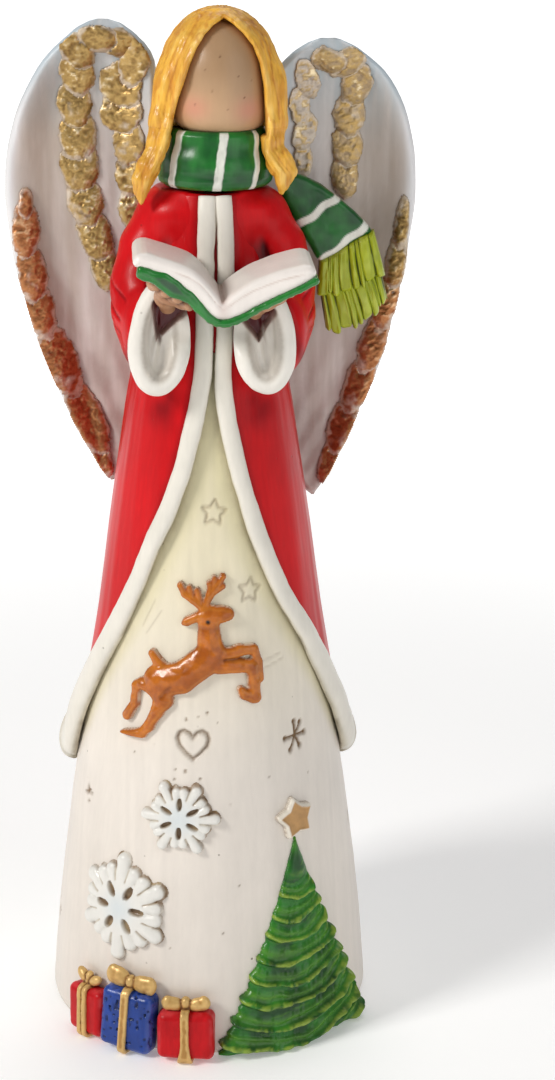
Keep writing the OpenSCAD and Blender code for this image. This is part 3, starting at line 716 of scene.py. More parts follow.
def coat_surface(A, Z):
    """Point on the coat's outer face."""
    col = np.deg2rad(A) * 26
    # long soft folds in the skirt, fuller low down
    low = ease((150 - Z) / 70)
    fold = 0.34 * np.sin(A * RAD * 9 + 0.9 * np.sin(Z / 34)) * low
    fold += 0.30 * noise2(col / 6.5, Z / 80, 41) * (0.4 + 0.6 * low)
    fold += 0.08 * noise2(col / 2, Z / 30, 42)
    fold *= ease((Z - 57) / 8) * ease((192 - Z) / 10)
    return polar(A, r_coat(Z) + fold - 0.25, Z)


def build_coat():
    A, Z = np.meshgrid(np.arange(0, 360, 1.2), np.arange(57.2, 192.01, 0.75))
    signed = (A + 180) % 360 - 180
    # open in front below the collar, and at its lower edge only the back hangs down to the hem
    keep = (np.abs(signed) > opening(signed, Z) - 2.2) | (Z > 158)
    keep &= (Z > 62.5) | (np.abs(signed) > 90)
    V, Q, _ = slab(keep, coat_surface(A, Z), polar(A, r_gown(Z) - 0.7, Z), wrap=True)
    z = V[:, 2]
    ang, rad = around(V)
    c = tinted(tinted(RED, V, 22, 0.10, 51), V, 5, 0.05, 52, 2, (1, 1, 3))
    # painted shade: darker beside the trims, under the arms and in the folds
    gap = (np.abs(ang) - opening(ang, z)) * RAD * rad
    dark = 0.45 * ease(1 - (gap - 1.6) / 2.4) * ease((z - 90) / 30)
    arm = np.minimum(sleeve_shape(V, -1, 0.0), sleeve_shape(V, 1, ARM_SHIFT))
    dark = np.maximum(dark, 0.85 * ease(1 - arm / 1.5) * ease((189 - z) / 6))
    under = bump(z - 146, 8) * bump(np.abs(ang) - 34, 26)
    dark = np.maximum(dark, 0.7 * under * ease(0.75 + 0.5 * fbm(V, 6, 2, 9)))
    c = mix(c, RED_PAINTED_SHADE, np.clip(dark, 0, 1))
    inner = gap < 0.6
    c = np.where((inner & (z < 158))[:, None], [0.72, 0.66, 0.52], c)
    w = np.where(inner, 0.55, 0.12 * ease(1 - (gap - 1.5) / 1.2))
    return piece("coat_shell", V, Q, None, c, w, "coat", "coat")


def build_trim(name, node, path, side, seed, w0=3.8, w1=12.0, h0=1.5, h1=4.2, growth=4.0):
    """Rounded white band along a path on the coat; its width and height grow along it."""
    on_coat = polar(path[:, 0], r_coat(path[:, 1]), path[:, 1])
    n = int(np.linalg.norm(np.diff(on_coat, axis=0), axis=1).sum() / 0.55)
    A, Z = spline(path, n).T
    P = coat_surface(side * A, Z)
    # along the path, out of the coat and across the band
    D = np.gradient(P, axis=0)
    D /= np.linalg.norm(D, axis=1, keepdims=True)
    N = np.stack([np.sin(side * A * RAD), -np.cos(side * A * RAD), np.full(n, 0.15)], 1)
    N -= (N * D).sum(1)[:, None] * D
    N /= np.linalg.norm(N, axis=1, keepdims=True)
    B = np.cross(D, N)
    f = (np.arange(n) / (n - 1)) ** growth
    wob = noise2(np.arange(n) * 0.55 / 9, np.zeros(n), seed, seed)
    w = (w0 + (w1 - w0) * f) / 2 * (1 + 0.05 * wob)
    h = (h0 + (h1 - h0) * f) * (1 + 0.07 * np.roll(wob, 9))
    m = 30
    rings = np.zeros((n, m, 3))
    for j in range(m):
        t = 2 * math.pi * j / m
        cx, cy = math.cos(t), math.sin(t)
        # a flattened roll whose underside sinks into the coat
        x = np.sign(cx) * abs(cx) ** 0.9
        y = abs(cy) ** 0.82 if cy > 0 else -0.35 * abs(cy) ** 0.7
        rings[:, j] = P + B * (x * w)[:, None] + N * (y * h)[:, None]
    flat = rings.reshape(-1, 3)
    away = flat - np.repeat(P, m, 0)
    away /= np.maximum(np.linalg.norm(away, axis=1, keepdims=True), 1e-6)
    flat = flat + away * (0.09 * fbm(flat, 3.2, 3, seed + 3))[:, None]
    V, Q, T = loft(flat.reshape(rings.shape))
    # how far up the band each vertex lies, for the shadow where it meets the coat
    base, out, tall = [np.concatenate([np.repeat(k, m, 0), k[:1], k[-1:]]) for k in (P, N, h)]
    up = ((V - base) * out).sum(1) / tall
    c = tinted([0.74, 0.70, 0.62], V, 8, 0.035, seed + 7)
    c = mix(c, [0.52, 0.46, 0.32], 0.65 * ease(1 - up / 0.42))
    w = 0.45 * ease(1 - up / 0.2) * ease(0.4 + fbm(V, 4, 2, seed))
    piece(name, V, Q, T, c, w, "trim", node)


# ---- arms and cuffs ----------------------------------------------------------

ARM_SHIFT = 1.4  # the right arm starts this far to the right


def sleeve_shape(p, s, dx):
    """Distance to a sleeve: shoulder, upper arm and the forearm that comes forwards."""
    pts = [(6.6 * s + dx, 0.8, 187.2), (9.8 * s + dx, -0.9, 184.2), (12.9 * s + dx, -2.0, 178.4),
           (14.3 * s + dx, -3.2, 171), (14.5 * s + dx, -5.0, 165.5)]
    d = rod(p, pts, [4.1, 5.3, 6.0, 6.6, 6.9], 3.0)
    # shoulder, elbow and the start of the forearm
    for x, y, z, half, fillet in ((7.6, -1.4, 186.0, (6.6, 8.0, 5.6), 4.0),
                                  (13.5, -8.5, 161.4, (6.2, 7.4, 9.4), 4.0),
                                  (12.2, -13.2, 161.8, (5.9, 4.4, 9.6), 3.0)):
        d = smin(d, ellipsoid(p, (x * s + dx, y, z), half), fillet)
    return d


def chest_fold(P, out, half, start):
    """The fold that runs down the sleeve from the chest: 1 on its line, 0 behind and beyond half."""
    line = (out - 8.0) - 0.34 * (186 - P[:, 2])
    return bump(line, half) * ease((-P[:, 1] - start) / (start + 1))


def build_sleeve(name, node, s, dx, seed):

    def f(p):
        d = sleeve_shape(p, s, dx)
        # folds that gather at the elbow and one that runs down from the chest
        out = (p[:, 0] - dx) * s
        for z0, tilt, deep in ((166.2, 0.42, 0.42), (162.6, 0.30, 0.30), (170.4, 0.5, 0.22)):
            line = p[:, 2] - z0 - tilt * (p[:, 1] + 8)
            d = d + deep * bump(line, 0.8) * ease((out - 13.5) / 4) * ease((p[:, 1] + 13) / 4)
        d = d + 0.8 * chest_fold(p, out, 1.9, 2) * ease((p[:, 2] - 168) / 6) * ease((184 - p[:, 2]) / 7)
        d = d + 0.10 * fbm(p, 7, 2, seed)
        # the upper arm runs into the coat without an edge
        body = np.hypot(p[:, 0], p[:, 1]) - r_coat(p[:, 2]) + 0.5
        d = np.maximum(smin(d, body, 0.4 + 3.4 * ease((p[:, 2] - 173) / 9)), d - 2.4)
        return smax(smax(d, -16.2 - p[:, 1], 0.8), p[:, 2] - 191.7, 0.4)

    x0, x1 = sorted((3 * s + dx, 22 * s + dx))
    V, Q = surface(f, (x0, -17, 150), (x1, 9, 191.8), 0.42)
    h = hollow(V, Q)
    c = tinted(tinted(RED, V, 9, 0.09, 53, 2), V, 3, 0.04, 54, 2, (1, 1, 2))
    out = (V[:, 0] - dx) * s
    # painted shade: darker beside the chest, in hollows, at the lower edge and in the fold
    chest = np.hypot(V[:, 0], V[:, 1]) - r_coat(V[:, 2])
    dark = 0.85 * ease(1 - (chest - 0.1) / 1.6) * ease((184 - V[:, 2]) / 8)
    dark = dark + 0.5 * ease(h / 0.06) + 0.5 * ease((156 - V[:, 2]) / 5)
    dark = dark + 0.6 * chest_fold(V, out, 2.2, 3) * ease((183 - V[:, 2]) / 8)
    c = mix(c, RED_PAINTED_SHADE, np.clip(dark, 0, 1))
    return piece(name, V, Q, None, c, 0.2 * ease(h / 0.08), "coat", node)


def build_cuff(name, node, s, dx, seed, red):
    """Bell with a thick rolled mouth; inside it a shallow white valley, and the sleeve inside outline red."""
    cx = 11.4 * s + dx
    prof = [(-12.9, 162.4, 4.2, 7.6), (-13.4, 162.4, 5.3, 9.0), (-14.8, 162.5, 5.9, 10.4),
            (-16.4, 162.6, 6.25, 11.4), (-18.2, 162.8, 6.4, 11.9), (-19.6, 162.9, 6.5, 12.2)]
    for t in range(0, 166, 15):
        prof.append((-21.1 - 1.9 * math.sin(t * RAD), 163.0, 4.5 + 2.1 * math.cos(t * RAD),
                     10.0 + 2.4 * math.cos(t * RAD)))
    prof += [(-20.9, 163.0, 2.3, 7.2), (-20.3, 163.1, 1.9, 6.2), (-20.0, 163.2, 1.3, 4.4),
             (-19.9, 163.3, 0.6, 2.2)]
    a = np.arange(0, 360, 2.5) * RAD
    # towards the middle of the figure the rim flattens into the sleeve's lining
    flat_side = ease((-s * np.sin(a) + 0.05) / 0.7) * ease((np.cos(a) + 0.55) / 0.7)
    rings = []
    for y, zc, rx, rz in prof:
        # the mouth is narrower at the top and hangs fuller at the bottom
        X = cx + rx * np.sin(a) * (1 - 0.12 * np.cos(a))
        Z = zc + rz * np.cos(a)
        plane = -19.7 if y < -19.7 else y
        Y = y + (plane - y) * flat_side + 0.05 * (Z - zc) + 0.35 * np.sin(2 * a + seed)
        rings.append(np.stack([X - 0.045 * s * (Z - zc), Y, Z], -1))
    R = np.array(rings)
    n = 80
    dist = np.concatenate([[0], np.cumsum(np.linalg.norm(np.diff(R, axis=0), axis=2).mean(1))])
    u = np.linspace(0, dist[-1], n)
    R = np.stack([[np.interp(u, dist, R[:, j, k]) for k in range(3)]
                  for j in range(R.shape[1])]).transpose(2, 0, 1)
    V, Q, T = loft(R)
    row = np.append(np.repeat(u / dist[-1], len(a)), [0, 1])
    inside = ease((row - 0.66) / 0.05)
    inner_side = np.append(np.tile(flat_side, n), [0, 0])
    inside = np.maximum(inside, ease((inner_side - 0.5) / 0.3) * ease((row - 0.40) / 0.06))
    d = poly2(V[:, 0], V[:, 2], red)
    deep = ease(0.5 - d / 0.7) * inside
    V = V + normals(V, Q) * (0.13 * fbm(V, 4.6, 3, seed))[:, None]
    V[:, 1] += 2.6 * deep
    # a soft fold runs down the valley from the corner of the opening
    tip = red[0]
    crease = cap2(V[:, 0], V[:, 2], tip, (tip[0] + 1.5 * s, tip[1] - 7))
    V[:, 1] -= 0.5 * inside * (1 - deep) * bump(crease, 1.2)
    c = tinted([0.76, 0.72, 0.655], V, 6, 0.03, seed + 2)
    # painted shade: greyer down the inside of the valley
    c = mix(c, [0.56, 0.51, 0.45], 0.6 * inside)
    # the sleeve's red inside the outline, darkened as painted shade
    c = mix(c, [0.115, 0.012, 0.014], deep)
    c = mix(c, [0.34, 0.20, 0.17], 0.7 * inside * ease(1 - np.abs(d) / 0.7))
    w = 0.35 * bump(row - 0.70, 0.07) * (1 - deep) + 0.5 * ease((0.12 - row) / 0.1)
    return piece(name, V, Q, T, c, w, "trim", node)


def build_hand(name, node, palm, fingers):
    """Palm and wrist with four fingers that curl up under the book. Each is (points, radii)."""
    def f(p):
        d = rod(p, *palm, 1.6)
        for finger in fingers:
            d = smin(d, rod(p, *finger, 0.5), 0.8)
        return d + 0.05 * fbm(p, 2.5, 2, 5)

    pts = np.concatenate([part[0] for part in [palm, *fingers]])
    V, Q = surface(f, pts.min(0) - 3.2, pts.max(0) + 3.2, 0.26)
    hol = hollow(V, Q)
    c = tinted([0.34, 0.16, 0.08], V, 3, 0.07, 3)
    # painted highlight on the ridges and painted shade in the hollows
    c = mix(c, [0.50, 0.27, 0.15], 0.6 * ease(-hol / 0.04))
    c = mix(c, [0.16, 0.07, 0.03], 0.8 * ease(hol / 0.05))
    return piece(name, V, Q, None, c, 0.4 * ease(hol / 0.07), "skin", node)


def build_hands():
    # only a sliver of each hand shows, pressed flat along the underside of the cover
    palm = ([(-9.6, -18.6, 169.4), (-10.2, -22.6, 172.2), (-9.8, -26.0, 173.9), (-7.0, -27.6, 172.7)],
            [1.8, 2.0, 2.1, 1.9])
    fingers = [([(-13.0, -24.6, 175.6), (-12.8, -28.4, 176.1), (-12.2, -30.4, 176.3)], [1.2, 1.15, 1.0]),
               ([(-10.6, -26.4, 174.4), (-10.6, -29.4, 175.0), (-10.1, -31.2, 175.1)], [1.35, 1.3, 1.15]),
               ([(-8.3, -26.8, 173.2), (-8.4, -29.6, 173.8), (-7.8, -31.4, 173.9)], [1.35, 1.3, 1.15]),
               ([(-6.1, -26.8, 171.8), (-6.0, -29.6, 172.3), (-5.5, -31.4, 172.3)], [1.3, 1.2, 1.05])]
    build_hand("hand_holding_left", "hand_left", palm, fingers)
    palm = ([(8.9, -18.6, 168.0), (9.4, -22.2, 170.4), (10.4, -25.6, 171.9), (13.6, -26.4, 173.0)],
            [1.7, 1.8, 1.9, 1.6])
    fingers = [([(8.2, -26.6, 170.7), (8.2, -29.6, 171.0), (7.9, -31.4, 171.1)], [1.2, 1.15, 1.0]),
               ([(10.5, -26.6, 171.9), (10.6, -29.6, 172.4), (10.3, -31.4, 172.5)], [1.25, 1.2, 1.05]),
               ([(12.9, -26.6, 173.0), (13.1, -29.6, 173.5), (12.8, -31.4, 173.6)], [1.2, 1.15, 1.0]),
               ([(15.2, -26.0, 173.9), (15.5, -29.0, 174.5), (15.2, -30.8, 174.6)], [1.15, 1.05, 0.9])]
    build_hand("hand_holding_right", "hand_right", palm, fingers)


# ---- book --------------------------------------------------------------------

BOOK_Z = 173.6
BOOK_TOP = [(-17.0, 7.9), (-16.9, 8.8), (-16.3, 9.6), (-15.4, 10.0), (-14.0, 10.0), (-12.4, 9.5), (-9, 8.4),
            (-5.4, 7), (-3.4, 5.6), (-1.7, 3.8), (0.1, 1.4), (1.5, 0.2), (3, 1.2), (5.1, 2.7), (7.6, 4.2),
            (10.4, 5.4), (13.2, 6.4), (16, 7.1), (18.0, 7.5), (19.3, 7.4), (20.3, 6.8), (20.7, 5.8)]
BOOK_LOW = [(20.3, 4.6), (17, 2.7), (13, 0.9), (10.4, -0.4), (8, -1.6), (6, -2.7), (4, -3.6), (2.6, -4.1),
            (1.5, -4.2), (0.1, -4.0), (-1.2, -3.2), (-3.6, -0.6), (-5.9, 2), (-8.4, 3.9), (-11, 5.4),
            (-14, 6.6), (-16.6, 7.2)]


# half thickness of the board at each point of its outline
BOARD_R = [0.8, 0.75, 0.7, 0.7, 0.75, 0.8, 0.8, 0.8, 0.8, 0.85, 0.9, 1.1, 1.5, 1.75, 1.8, 1.5, 0.9]
BOOK_Y, BOOK_HALF = -24.5, 9.5


def build_pages():
    outline = [tuple(q) for q in spline(BOOK_TOP, 44)] + BOOK_LOW

    def leaves(p):
        d2 = poly2(p[:, 0], p[:, 2] - BOOK_Z, outline)
        # a gutter pressed along the spine, and the block's long soft edge
        d2 = d2 + 0.5 * bump(p[:, 0] - 1.5, 1.3) * ease((p[:, 2] - BOOK_Z) / 2 + 1)
        d = smax(d2, np.abs(p[:, 1] - BOOK_Y) - BOOK_HALF, 2.0)
        depth = np.interp(p[:, 0], *np.array(BOOK_TOP).T) - (p[:, 2] - BOOK_Z)
        front = ease((-p[:, 1] - 32.2) / 1.2)
        d = d + front * 0.13 * bump(depth - 1.9, 0.7)
        return d + 0.07 * fbm(p, 6, 2, 12)

    V, Q = surface(leaves, (-17.6, -34.8, 168.4), (21.4, -14.2, 184.4), 0.3)
    hol = hollow(V, Q)
    c = tinted([0.79, 0.73, 0.68], V, 5, 0.03, 14)
    # painted shade in the hollows and down the gutter at the spine
    c = mix(c, [0.56, 0.42, 0.36], 0.7 * ease(hol / 0.035))
    c = mix(c, [0.60, 0.48, 0.44], 0.5 * bump(V[:, 0] - 1.5, 2.2))
    piece("pages_open", V, Q, None, c, 0.3 * ease(hol / 0.05), "page", "book_pages")


def build_board():
    def board(p):
        x, z = p[:, 0], p[:, 2] - BOOK_Z
        ends = [(a, b - 0.55 * r) for (a, b), r in zip(BOOK_LOW, BOARD_R)]
        d2 = None
        for i in range(len(ends) - 1):
            d = cap2(x, z, ends[i], ends[i + 1], BOARD_R[i], BOARD_R[i + 1])
            d2 = d if d2 is None else smin(d2, d, 0.4)
        lump = 0.3 * np.sin(x * 0.9 + 0.6) * ease((-2 - x) / 4) * ease((-p[:, 1] - 28) / 4)
        d2 = smax(d2 + lump, -16.4 - x + 0.25 * (z - 5.6), 0.8)
        d = smax(d2, np.abs(p[:, 1] - BOOK_Y + 0.1) - BOOK_HALF - 0.2, 1.2)
        return d + 0.08 * fbm(p, 3, 2, 17)

    V, Q = surface(board, (-18.6, -34.8, 166.6), (22.0, -14.2, 182.8), 0.3)
    hol = hollow(V, Q)
    # lighter green on the lumps is painted highlight
    c = tinted(mix([0.004, 0.055, 0.010], [0.010, 0.18, 0.02], ease(-hol / 0.03) * 0.8), V, 4, 0.2, 18)
    piece("book_board", V, Q, None, c, 0.5 * ease(hol / 0.04), "cover", "book_cover")


# ---- head and hair -----------------------------------------------------------

HEAD = (2.2, -1.5, 214.6)
FACE = [(0.7, 12.9), (-1.6, 11.6), (-3.4, 9.8), (-5.2, 7), (-6.6, 3.8), (-7.7, 0.4), (-8.9, -3.2),
        (-9.8, -6.8), (-10.6, -12), (-11, -40), (10.4, -40), (9.6, -12), (9.3, -6), (9, -1), (8.1, 3.9),
        (6.7, 7.4), (4.6, 10), (2.4, 11.9)]


def build_head():
    n, m = 110, 150
    u = np.linspace(0, math.pi, n + 2)[1:-1]
    a = np.linspace(0, 2 * math.pi, m, endpoint=False)
    U, A = np.meshgrid(u, a, indexing="ij")
    X, Y, Z = np.sin(U) * np.sin(A), -np.sin(U) * np.cos(A), np.cos(U)
    # full cheeks and a broad jaw
    low = np.clip(-Z, 0, 1)
    k = ((1 - low ** 5) / np.maximum(1 - low ** 2, 1e-6)) ** 0.6
    P = np.stack([HEAD[0] + (9.7 + 0.5 * low) * X * k, HEAD[1] + 9.2 * Y * k, HEAD[2] + 12.3 * Z], -1)
    V, Q, T = loft(P)
    V = V + 0.06 * (fbm(V, 6, 2, 19))[:, None] * normals(V, Q)
    # pinholes in the casting
    pits = np.zeros(len(V))
    for x, z, r in ((1.9, 220.2, 0.26), (-1.2, 217.4, 0.2), (5.6, 216.1, 0.22), (0.2, 213.2, 0.2),
                    (6.9, 211.6, 0.2), (-3.4, 210.2, 0.2), (3.3, 209.3, 0.22), (8.4, 215.0, 0.2),
                    (-4.4, 214.6, 0.18)):
        d = np.hypot(V[:, 0] - x, V[:, 2] - z)
        pits = np.maximum(pits, np.where(V[:, 1] < -1, ease(1.3 - d / r), 0))
    # painted shade: darker towards the brow and the right; pink cheeks and a brown line where the hair meets
    # it
    c = tinted([0.50, 0.315, 0.175], V, 7, 0.05, 23)
    c = mix(c, [0.33, 0.20, 0.105], 0.85 * ease((V[:, 2] - 208) / 11))
    c = mix(c, [0.34, 0.205, 0.11], 0.5 * ease((V[:, 0] - HEAD[0] + 1) / 8) * ease((V[:, 2] - 203) / 6))
    for x, z in ((-3.6, 209.4), (8.0, 209.0)):
        d = np.hypot((V[:, 0] - x) / 3.4, (V[:, 2] - z) / 2.9)
        c = mix(c, [0.62, 0.20, 0.14], 0.5 * np.exp(-d * d * 1.3) * (V[:, 1] < 0))
    c = mix(c, [0.30, 0.13, 0.05], 0.75 * bump(poly2(V[:, 0] - HEAD[0], V[:, 2] - HEAD[2], FACE), 1.7))
    piece("face_blank", V, Q, T, c, 0.9 * pits, "skin", "head")


SWING_L = [(189.4, -5.4), (191.9, -5.2), (194.3, -4.7), (196.7, -3.4), (198.9, -2.2), (201.5, -1.1),
           (206.4, 0)]
SWING_R = [(191.4, 1.5), (193.4, 1.8), (195.9, 2.2), (197.8, 1.0), (200.4, -0.6), (202.5, -0.5), (206.4, 0)]
FALL_L = [(-8.6, -4.0, 213.0, 3.2), (-10.0, -5.4, 206.4, 3.0), (-11.0, -6.6, 201.8, 2.3),
          (-12.0, -7.4, 199.0, 2.1), (-13.3, -8.0, 196.7, 2.4), (-14.5, -8.3, 194.3, 2.1),
          (-14.9, -8.5, 191.9, 1.4), (-15.0, -8.8, 189.8, 0.6)]
EDGE_L = [(-8.8, -8.0, 206.4, 0.7), (-9.7, -9.0, 203.0, 0.8), (-10.7, -9.3, 199.8, 0.9),
          (-12.2, -9.3, 196.7, 0.9), (-13.7, -9.3, 193.2, 0.8)]
FALL_R = [(12.9, -4.0, 213.0, 3.1), (13.4, -5.4, 206.0, 2.8), (13.1, -6.6, 202.5, 2.3),
          (13.1, -7.0, 200.4, 2.1), (14.6, -7.6, 197.8, 2.8), (15.7, -8.0, 195.9, 2.5),
          (15.4, -8.4, 193.4, 1.4), (15.1, -8.6, 191.8, 0.6)]
EDGE_R = [(12.9, -8.2, 206.0, 0.7), (12.8, -9.2, 202.6, 0.7), (12.6, -9.5, 199.4, 0.9),
          (13.9, -9.5, 196.2, 0.9), (14.6, -9.3, 193.6, 0.7)]


def strands(p):
    """Coordinate across the strands: from the parting outwards in front, round the crown behind."""
    swing = np.where(p[:, 0] < HEAD[0], np.interp(p[:, 2], *np.array(SWING_L).T),
                     np.interp(p[:, 2], *np.array(SWING_R).T))
    x, z = p[:, 0] - HEAD[0] - swing, p[:, 2] - HEAD[2]
    front = poly2(x, z, FACE)
    turn = np.arctan2(np.abs(x), -p[:, 1]) * 12.5
    k = ease((p[:, 1] + 3.5) / 5)
    s = front * (1 - k) + (turn - 13) * k
    return s + 0.5 * vnoise(np.stack([s / 2.2, p[:, 2] / 8, np.sign(x) * 3.1], 1), 71)


def hair_relief(p):
    """Place across the strands, and how far they stand out."""
    s = strands(p)
    g = 0.09 * np.sin(s * 2 * math.pi / 3.3) + 0.11 * np.abs(np.sin(s * math.pi / 0.85)) ** 0.7
    g = g + 0.10 * fbm(p, 0.9, 2, 72, (1, 1, 3.5))
    # a soft lip along the edge of the opening
    return s, g + 0.22 * bump(s - 0.9, 1.0) * (p[:, 1] < -2)


def lock(p, pts, flat=1.0):
    """Lock of hair through points with a radius each, flattened from front to back."""
    q = p.copy()
    q[:, 1] = -8 + (p[:, 1] + 8) * flat
    P = [(x, -8 + (y + 8) * flat, z) for x, y, z, _ in pts]
    return rod(q, P, [w for *_, w in pts], 1.0)


def hair_mass(p):
    """Hair on the head and beside the face, with the face and the neck cut out."""
    d = ellipsoid(p, (2.2, 0.6, 213.9), (13.1, 12.9, 15.7))
    # fuller beside the face, so that the outline keeps its width down to the jaw
    for sx in (-1, 1):
        ends = [(2.2 + sx * 9.6, -2.2, 214), (2.2 + sx * 10.8, -3.2, 206.4)]
        d = smin(d, rod(p, ends, [4.2, 3.3], 1), 3.0)
    d = smax(d, 201.0 - p[:, 2], 1.0)
    neck = np.hypot(p[:, 0] - 1.4, p[:, 1]) - 11.2
    neck = np.maximum(neck, p[:, 2] - 204.2)
    d = smax(d, -neck, 0.3)
    for fall, edge in ((FALL_L, EDGE_L), (FALL_R, EDGE_R)):
        k = smin(lock(p, fall, 1.15), lock(p, edge), 1.4)
        d = smin(d, k, 1.6)
    d = d - (hair_relief(p)[1] - 0.12)
    cut = poly2(p[:, 0] - HEAD[0], p[:, 2] - HEAD[2], FACE)
    d = smax(d, -np.maximum(np.maximum(cut, p[:, 1] + 1.5), 203.5 - p[:, 2]), 0.9)
    return smax(d, -np.maximum(ellipsoid(p, HEAD, (9.3, 8.9, 12.1)), 204.4 - p[:, 2]), 0.3)


def build_hair_cap():
    """Hair on the head, down to the height where the two falls begin."""
    V, Q = surface(lambda p: smax(hair_mass(p), 205.0 - p[:, 2], 0.05), (-13.2, -14.6, 204.2),
                   (17.8, 14.8, 230), 0.3, 1)
    hair_piece("hair_over_head", V, Q, "hair_cap", hair_relief(V)[1])


def build_falls():
    """The two falls beside the face."""
    for side, lo, hi in (("left", (-18.6, -13.4, 188.4), (-5.4, 2.0, 206.0)),
                         ("right", (9.4, -13.4, 189.4), (20.6, 2.0, 206.0))):
        V, Q = surface(lambda p: smax(hair_mass(p) + 0.02, p[:, 2] - 205.3, 0.05), lo, hi, 0.26, 1)
        hair_piece("hair_fall_" + side, V, Q, "hair_lock_" + side, hair_relief(V)[1])


def hair_piece(name, V, Q, node, g, T=None):
    """Piece of hair, golden on the strands and brown between them; g is how far they stand out."""
    groove = ease((0.16 - g) / 0.34)
    c = mix([0.74, 0.40, 0.052], [0.48, 0.175, 0.012], 0.6 * groove)
    # painted highlights on the raised strands
    c = mix(c, [0.80, 0.54, 0.15], 0.6 * ease((g - 0.10) / 0.2) * ease(0.5 + 0.7 * fbm(V, 4, 2, 77)))
    # brown glaze in drifts along the strands
    c = mix(c, [0.50, 0.19, 0.018], 0.40 * ease(fbm(V, 3.5, 3, 78, (1, 1, 2.5)) * 1.3))
    c = mix(c, [0.50, 0.18, 0.015], 0.55 * ease(fbm(V, 0.9, 2, 79, (1, 1, 5)) * 1.6 - 0.1))
    return piece(name, V, Q, T, tinted(c, V, 8, 0.06, 76), 0.35 * ease((groove - 0.5) / 0.5), "hair", node)


BACK_FALL = [  # height, distance behind the middle, half width and half thickness
    (211, 5.6, 9.4, 4.6), (207.5, 8.4, 10.2, 4.6), (200, 12.2, 9.2, 4.2), (194, 15.2, 7.8, 3.5),
    (189, 17.6, 7.3, 2.8), (183, 19.0, 6.5, 2.4), (180, 19.5, 5.2, 2.0), (178.6, 19.7, 3.6, 1.2)]


def build_back_fall():
    """Hair down the back: oval rings with strands that run along it and twist a little."""
    n, m, count, depth, twist = 110, 176, 22, 0.55, 1.2
    t = np.linspace(0, 1, n)
    z, y, wide, thick = [np.interp(t, np.linspace(0, 1, len(BACK_FALL)), k) for k in np.array(BACK_FALL).T]
    a = np.arange(m) * 2 * math.pi / m
    rings, relief = [], []
    for i in range(n):
        turn = twist * i / n
        g = np.abs(np.sin((a * count + turn) / 2)) ** 0.7 + 0.35 * np.sin(a * 2 + turn + 5) - 0.5
        k = 1 + depth * g / max(wide[i], 0.8)
        x = 1.6 + 0.5 * np.sin(t[i] * 5) + wide[i] * k * np.cos(a)
        rings.append(np.stack([x, y[i] + thick[i] * k * np.sin(a), np.full(m, z[i])], 1))
        relief.append(g * 0.4 + 0.2)
    V, Q, T = loft(rings)
    hair_piece("hair_fall_back", V, Q, "hair_back", np.append(relief, [0.3, 0.3]), T)


# ---- scarf -------------------------------------------------------------------

GREEN = np.array([0.004, 0.060, 0.012])
GREEN_HI = np.array([0.015, 0.19, 0.022])
STRIPE = np.array([0.74, 0.74, 0.66])


WRAP_X = 1.4


def build_scarf_wrap():
    prof = [(5.6, 192.3), (9.5, 192.2), (11.6, 192.35), (12.3, 193.0), (12.7, 194.2), (12.6, 196.2),
            (12.1, 198.4), (11.6, 200.4), (11.1, 202.4), (10.8, 203.6), (10.2, 204.4), (9.4, 204.5),
            (8.6, 203.6), (5.6, 202.4)]
    r, z = np.array(prof).T
    s = np.concatenate([[0], np.cumsum(np.hypot(np.diff(r), np.diff(z)))])
    u = np.linspace(0, s[-1], 90)
    r, z = np.interp(u, s, r), np.interp(u, s, z)
    a = np.arange(0, 360, 0.9)
    A, U = np.meshgrid(a, u)
    R, Z = np.interp(U, u, r), np.interp(U, u, z)
    signed = (A + 180) % 360 - 180
    # shallow folds that run round the neck, and a dip at the front
    fold = 0.16 * np.sin(Z * 1.15 + 0.8 * np.sin(signed * RAD * 1.3 + 0.5)) * ease((R - 9) / 2)
    fold = fold + 0.12 * noise2(A / 16, Z / 2.6, 81)
    R = R + fold - 0.15
    P = polar(A, R, Z)
    P[..., 0] += WRAP_X
    # stripes, a little proud: angle at the lower edge, angle at the upper edge, half width in mm
    marks = [(-52, -47, 1.0), (-2, 7, 0.9), (38, 50, 0.75), (98, 104, 0.7), (146, 150, 0.7),
             (-166, -160, 0.7), (-124, -118, 0.7), (-84, -82, 0.75)]
    t = np.clip((Z - 192.3) / 11.9, 0, 1)
    white = np.zeros(A.shape)
    for i, (a0, a1, w) in enumerate(marks):
        mid = a0 + (a1 - a0) * t + 0.3 * np.sin(t * 6 + i * 1.7)
        d = np.abs((signed - mid + 180) % 360 - 180) * RAD * R
        wobble = 0.05 * np.sin(Z * 1.7 + i) + 0.03 * np.sin(Z * 3.7 + 2 * i)
        white = np.maximum(white, ease((w + wobble - d) / 0.3 + 0.5))
    white *= ease((R - 9.6) / 0.8)
    P[..., :2] += (P[..., :2] - np.array([WRAP_X, 0])) / R[..., None] * (0.16 * white)[..., None]
    V, Q, T = loft(P)
    hol = np.append(fold.ravel(), [0, 0])
    wv = np.append(white.ravel(), [0, 0])
    # painted highlight on the crests of the folds and painted shade in their hollows
    c = mix(GREEN, GREEN_HI, np.clip(0.45 + 1.1 * hol + 0.45 * fbm(V, 5, 3, 83, (0.6, 0.6, 1)), 0, 1) * 0.75)
    c = mix(c, STRIPE * (0.9 + 0.1 * np.clip(fbm(V, 2, 2, 84), -1, 1))[:, None], wv)
    piece("scarf_round_neck", V, Q, T, c, 0.5 * ease((-hol - 0.12) / 0.2), "scarf", "scarf_wrap")


TAIL = [(14.6, 193.8), (18, 193.9), (21, 192.9), (24.6, 191), (27.6, 188.8), (32, 185.2), (35.4, 181.6),
        (35.9, 180.6), (33, 179.2), (30, 177.4), (27, 175.4), (24.6, 173.9), (23.6, 175), (22, 177.8),
        (20, 181), (18, 184.4), (16, 187.6)]


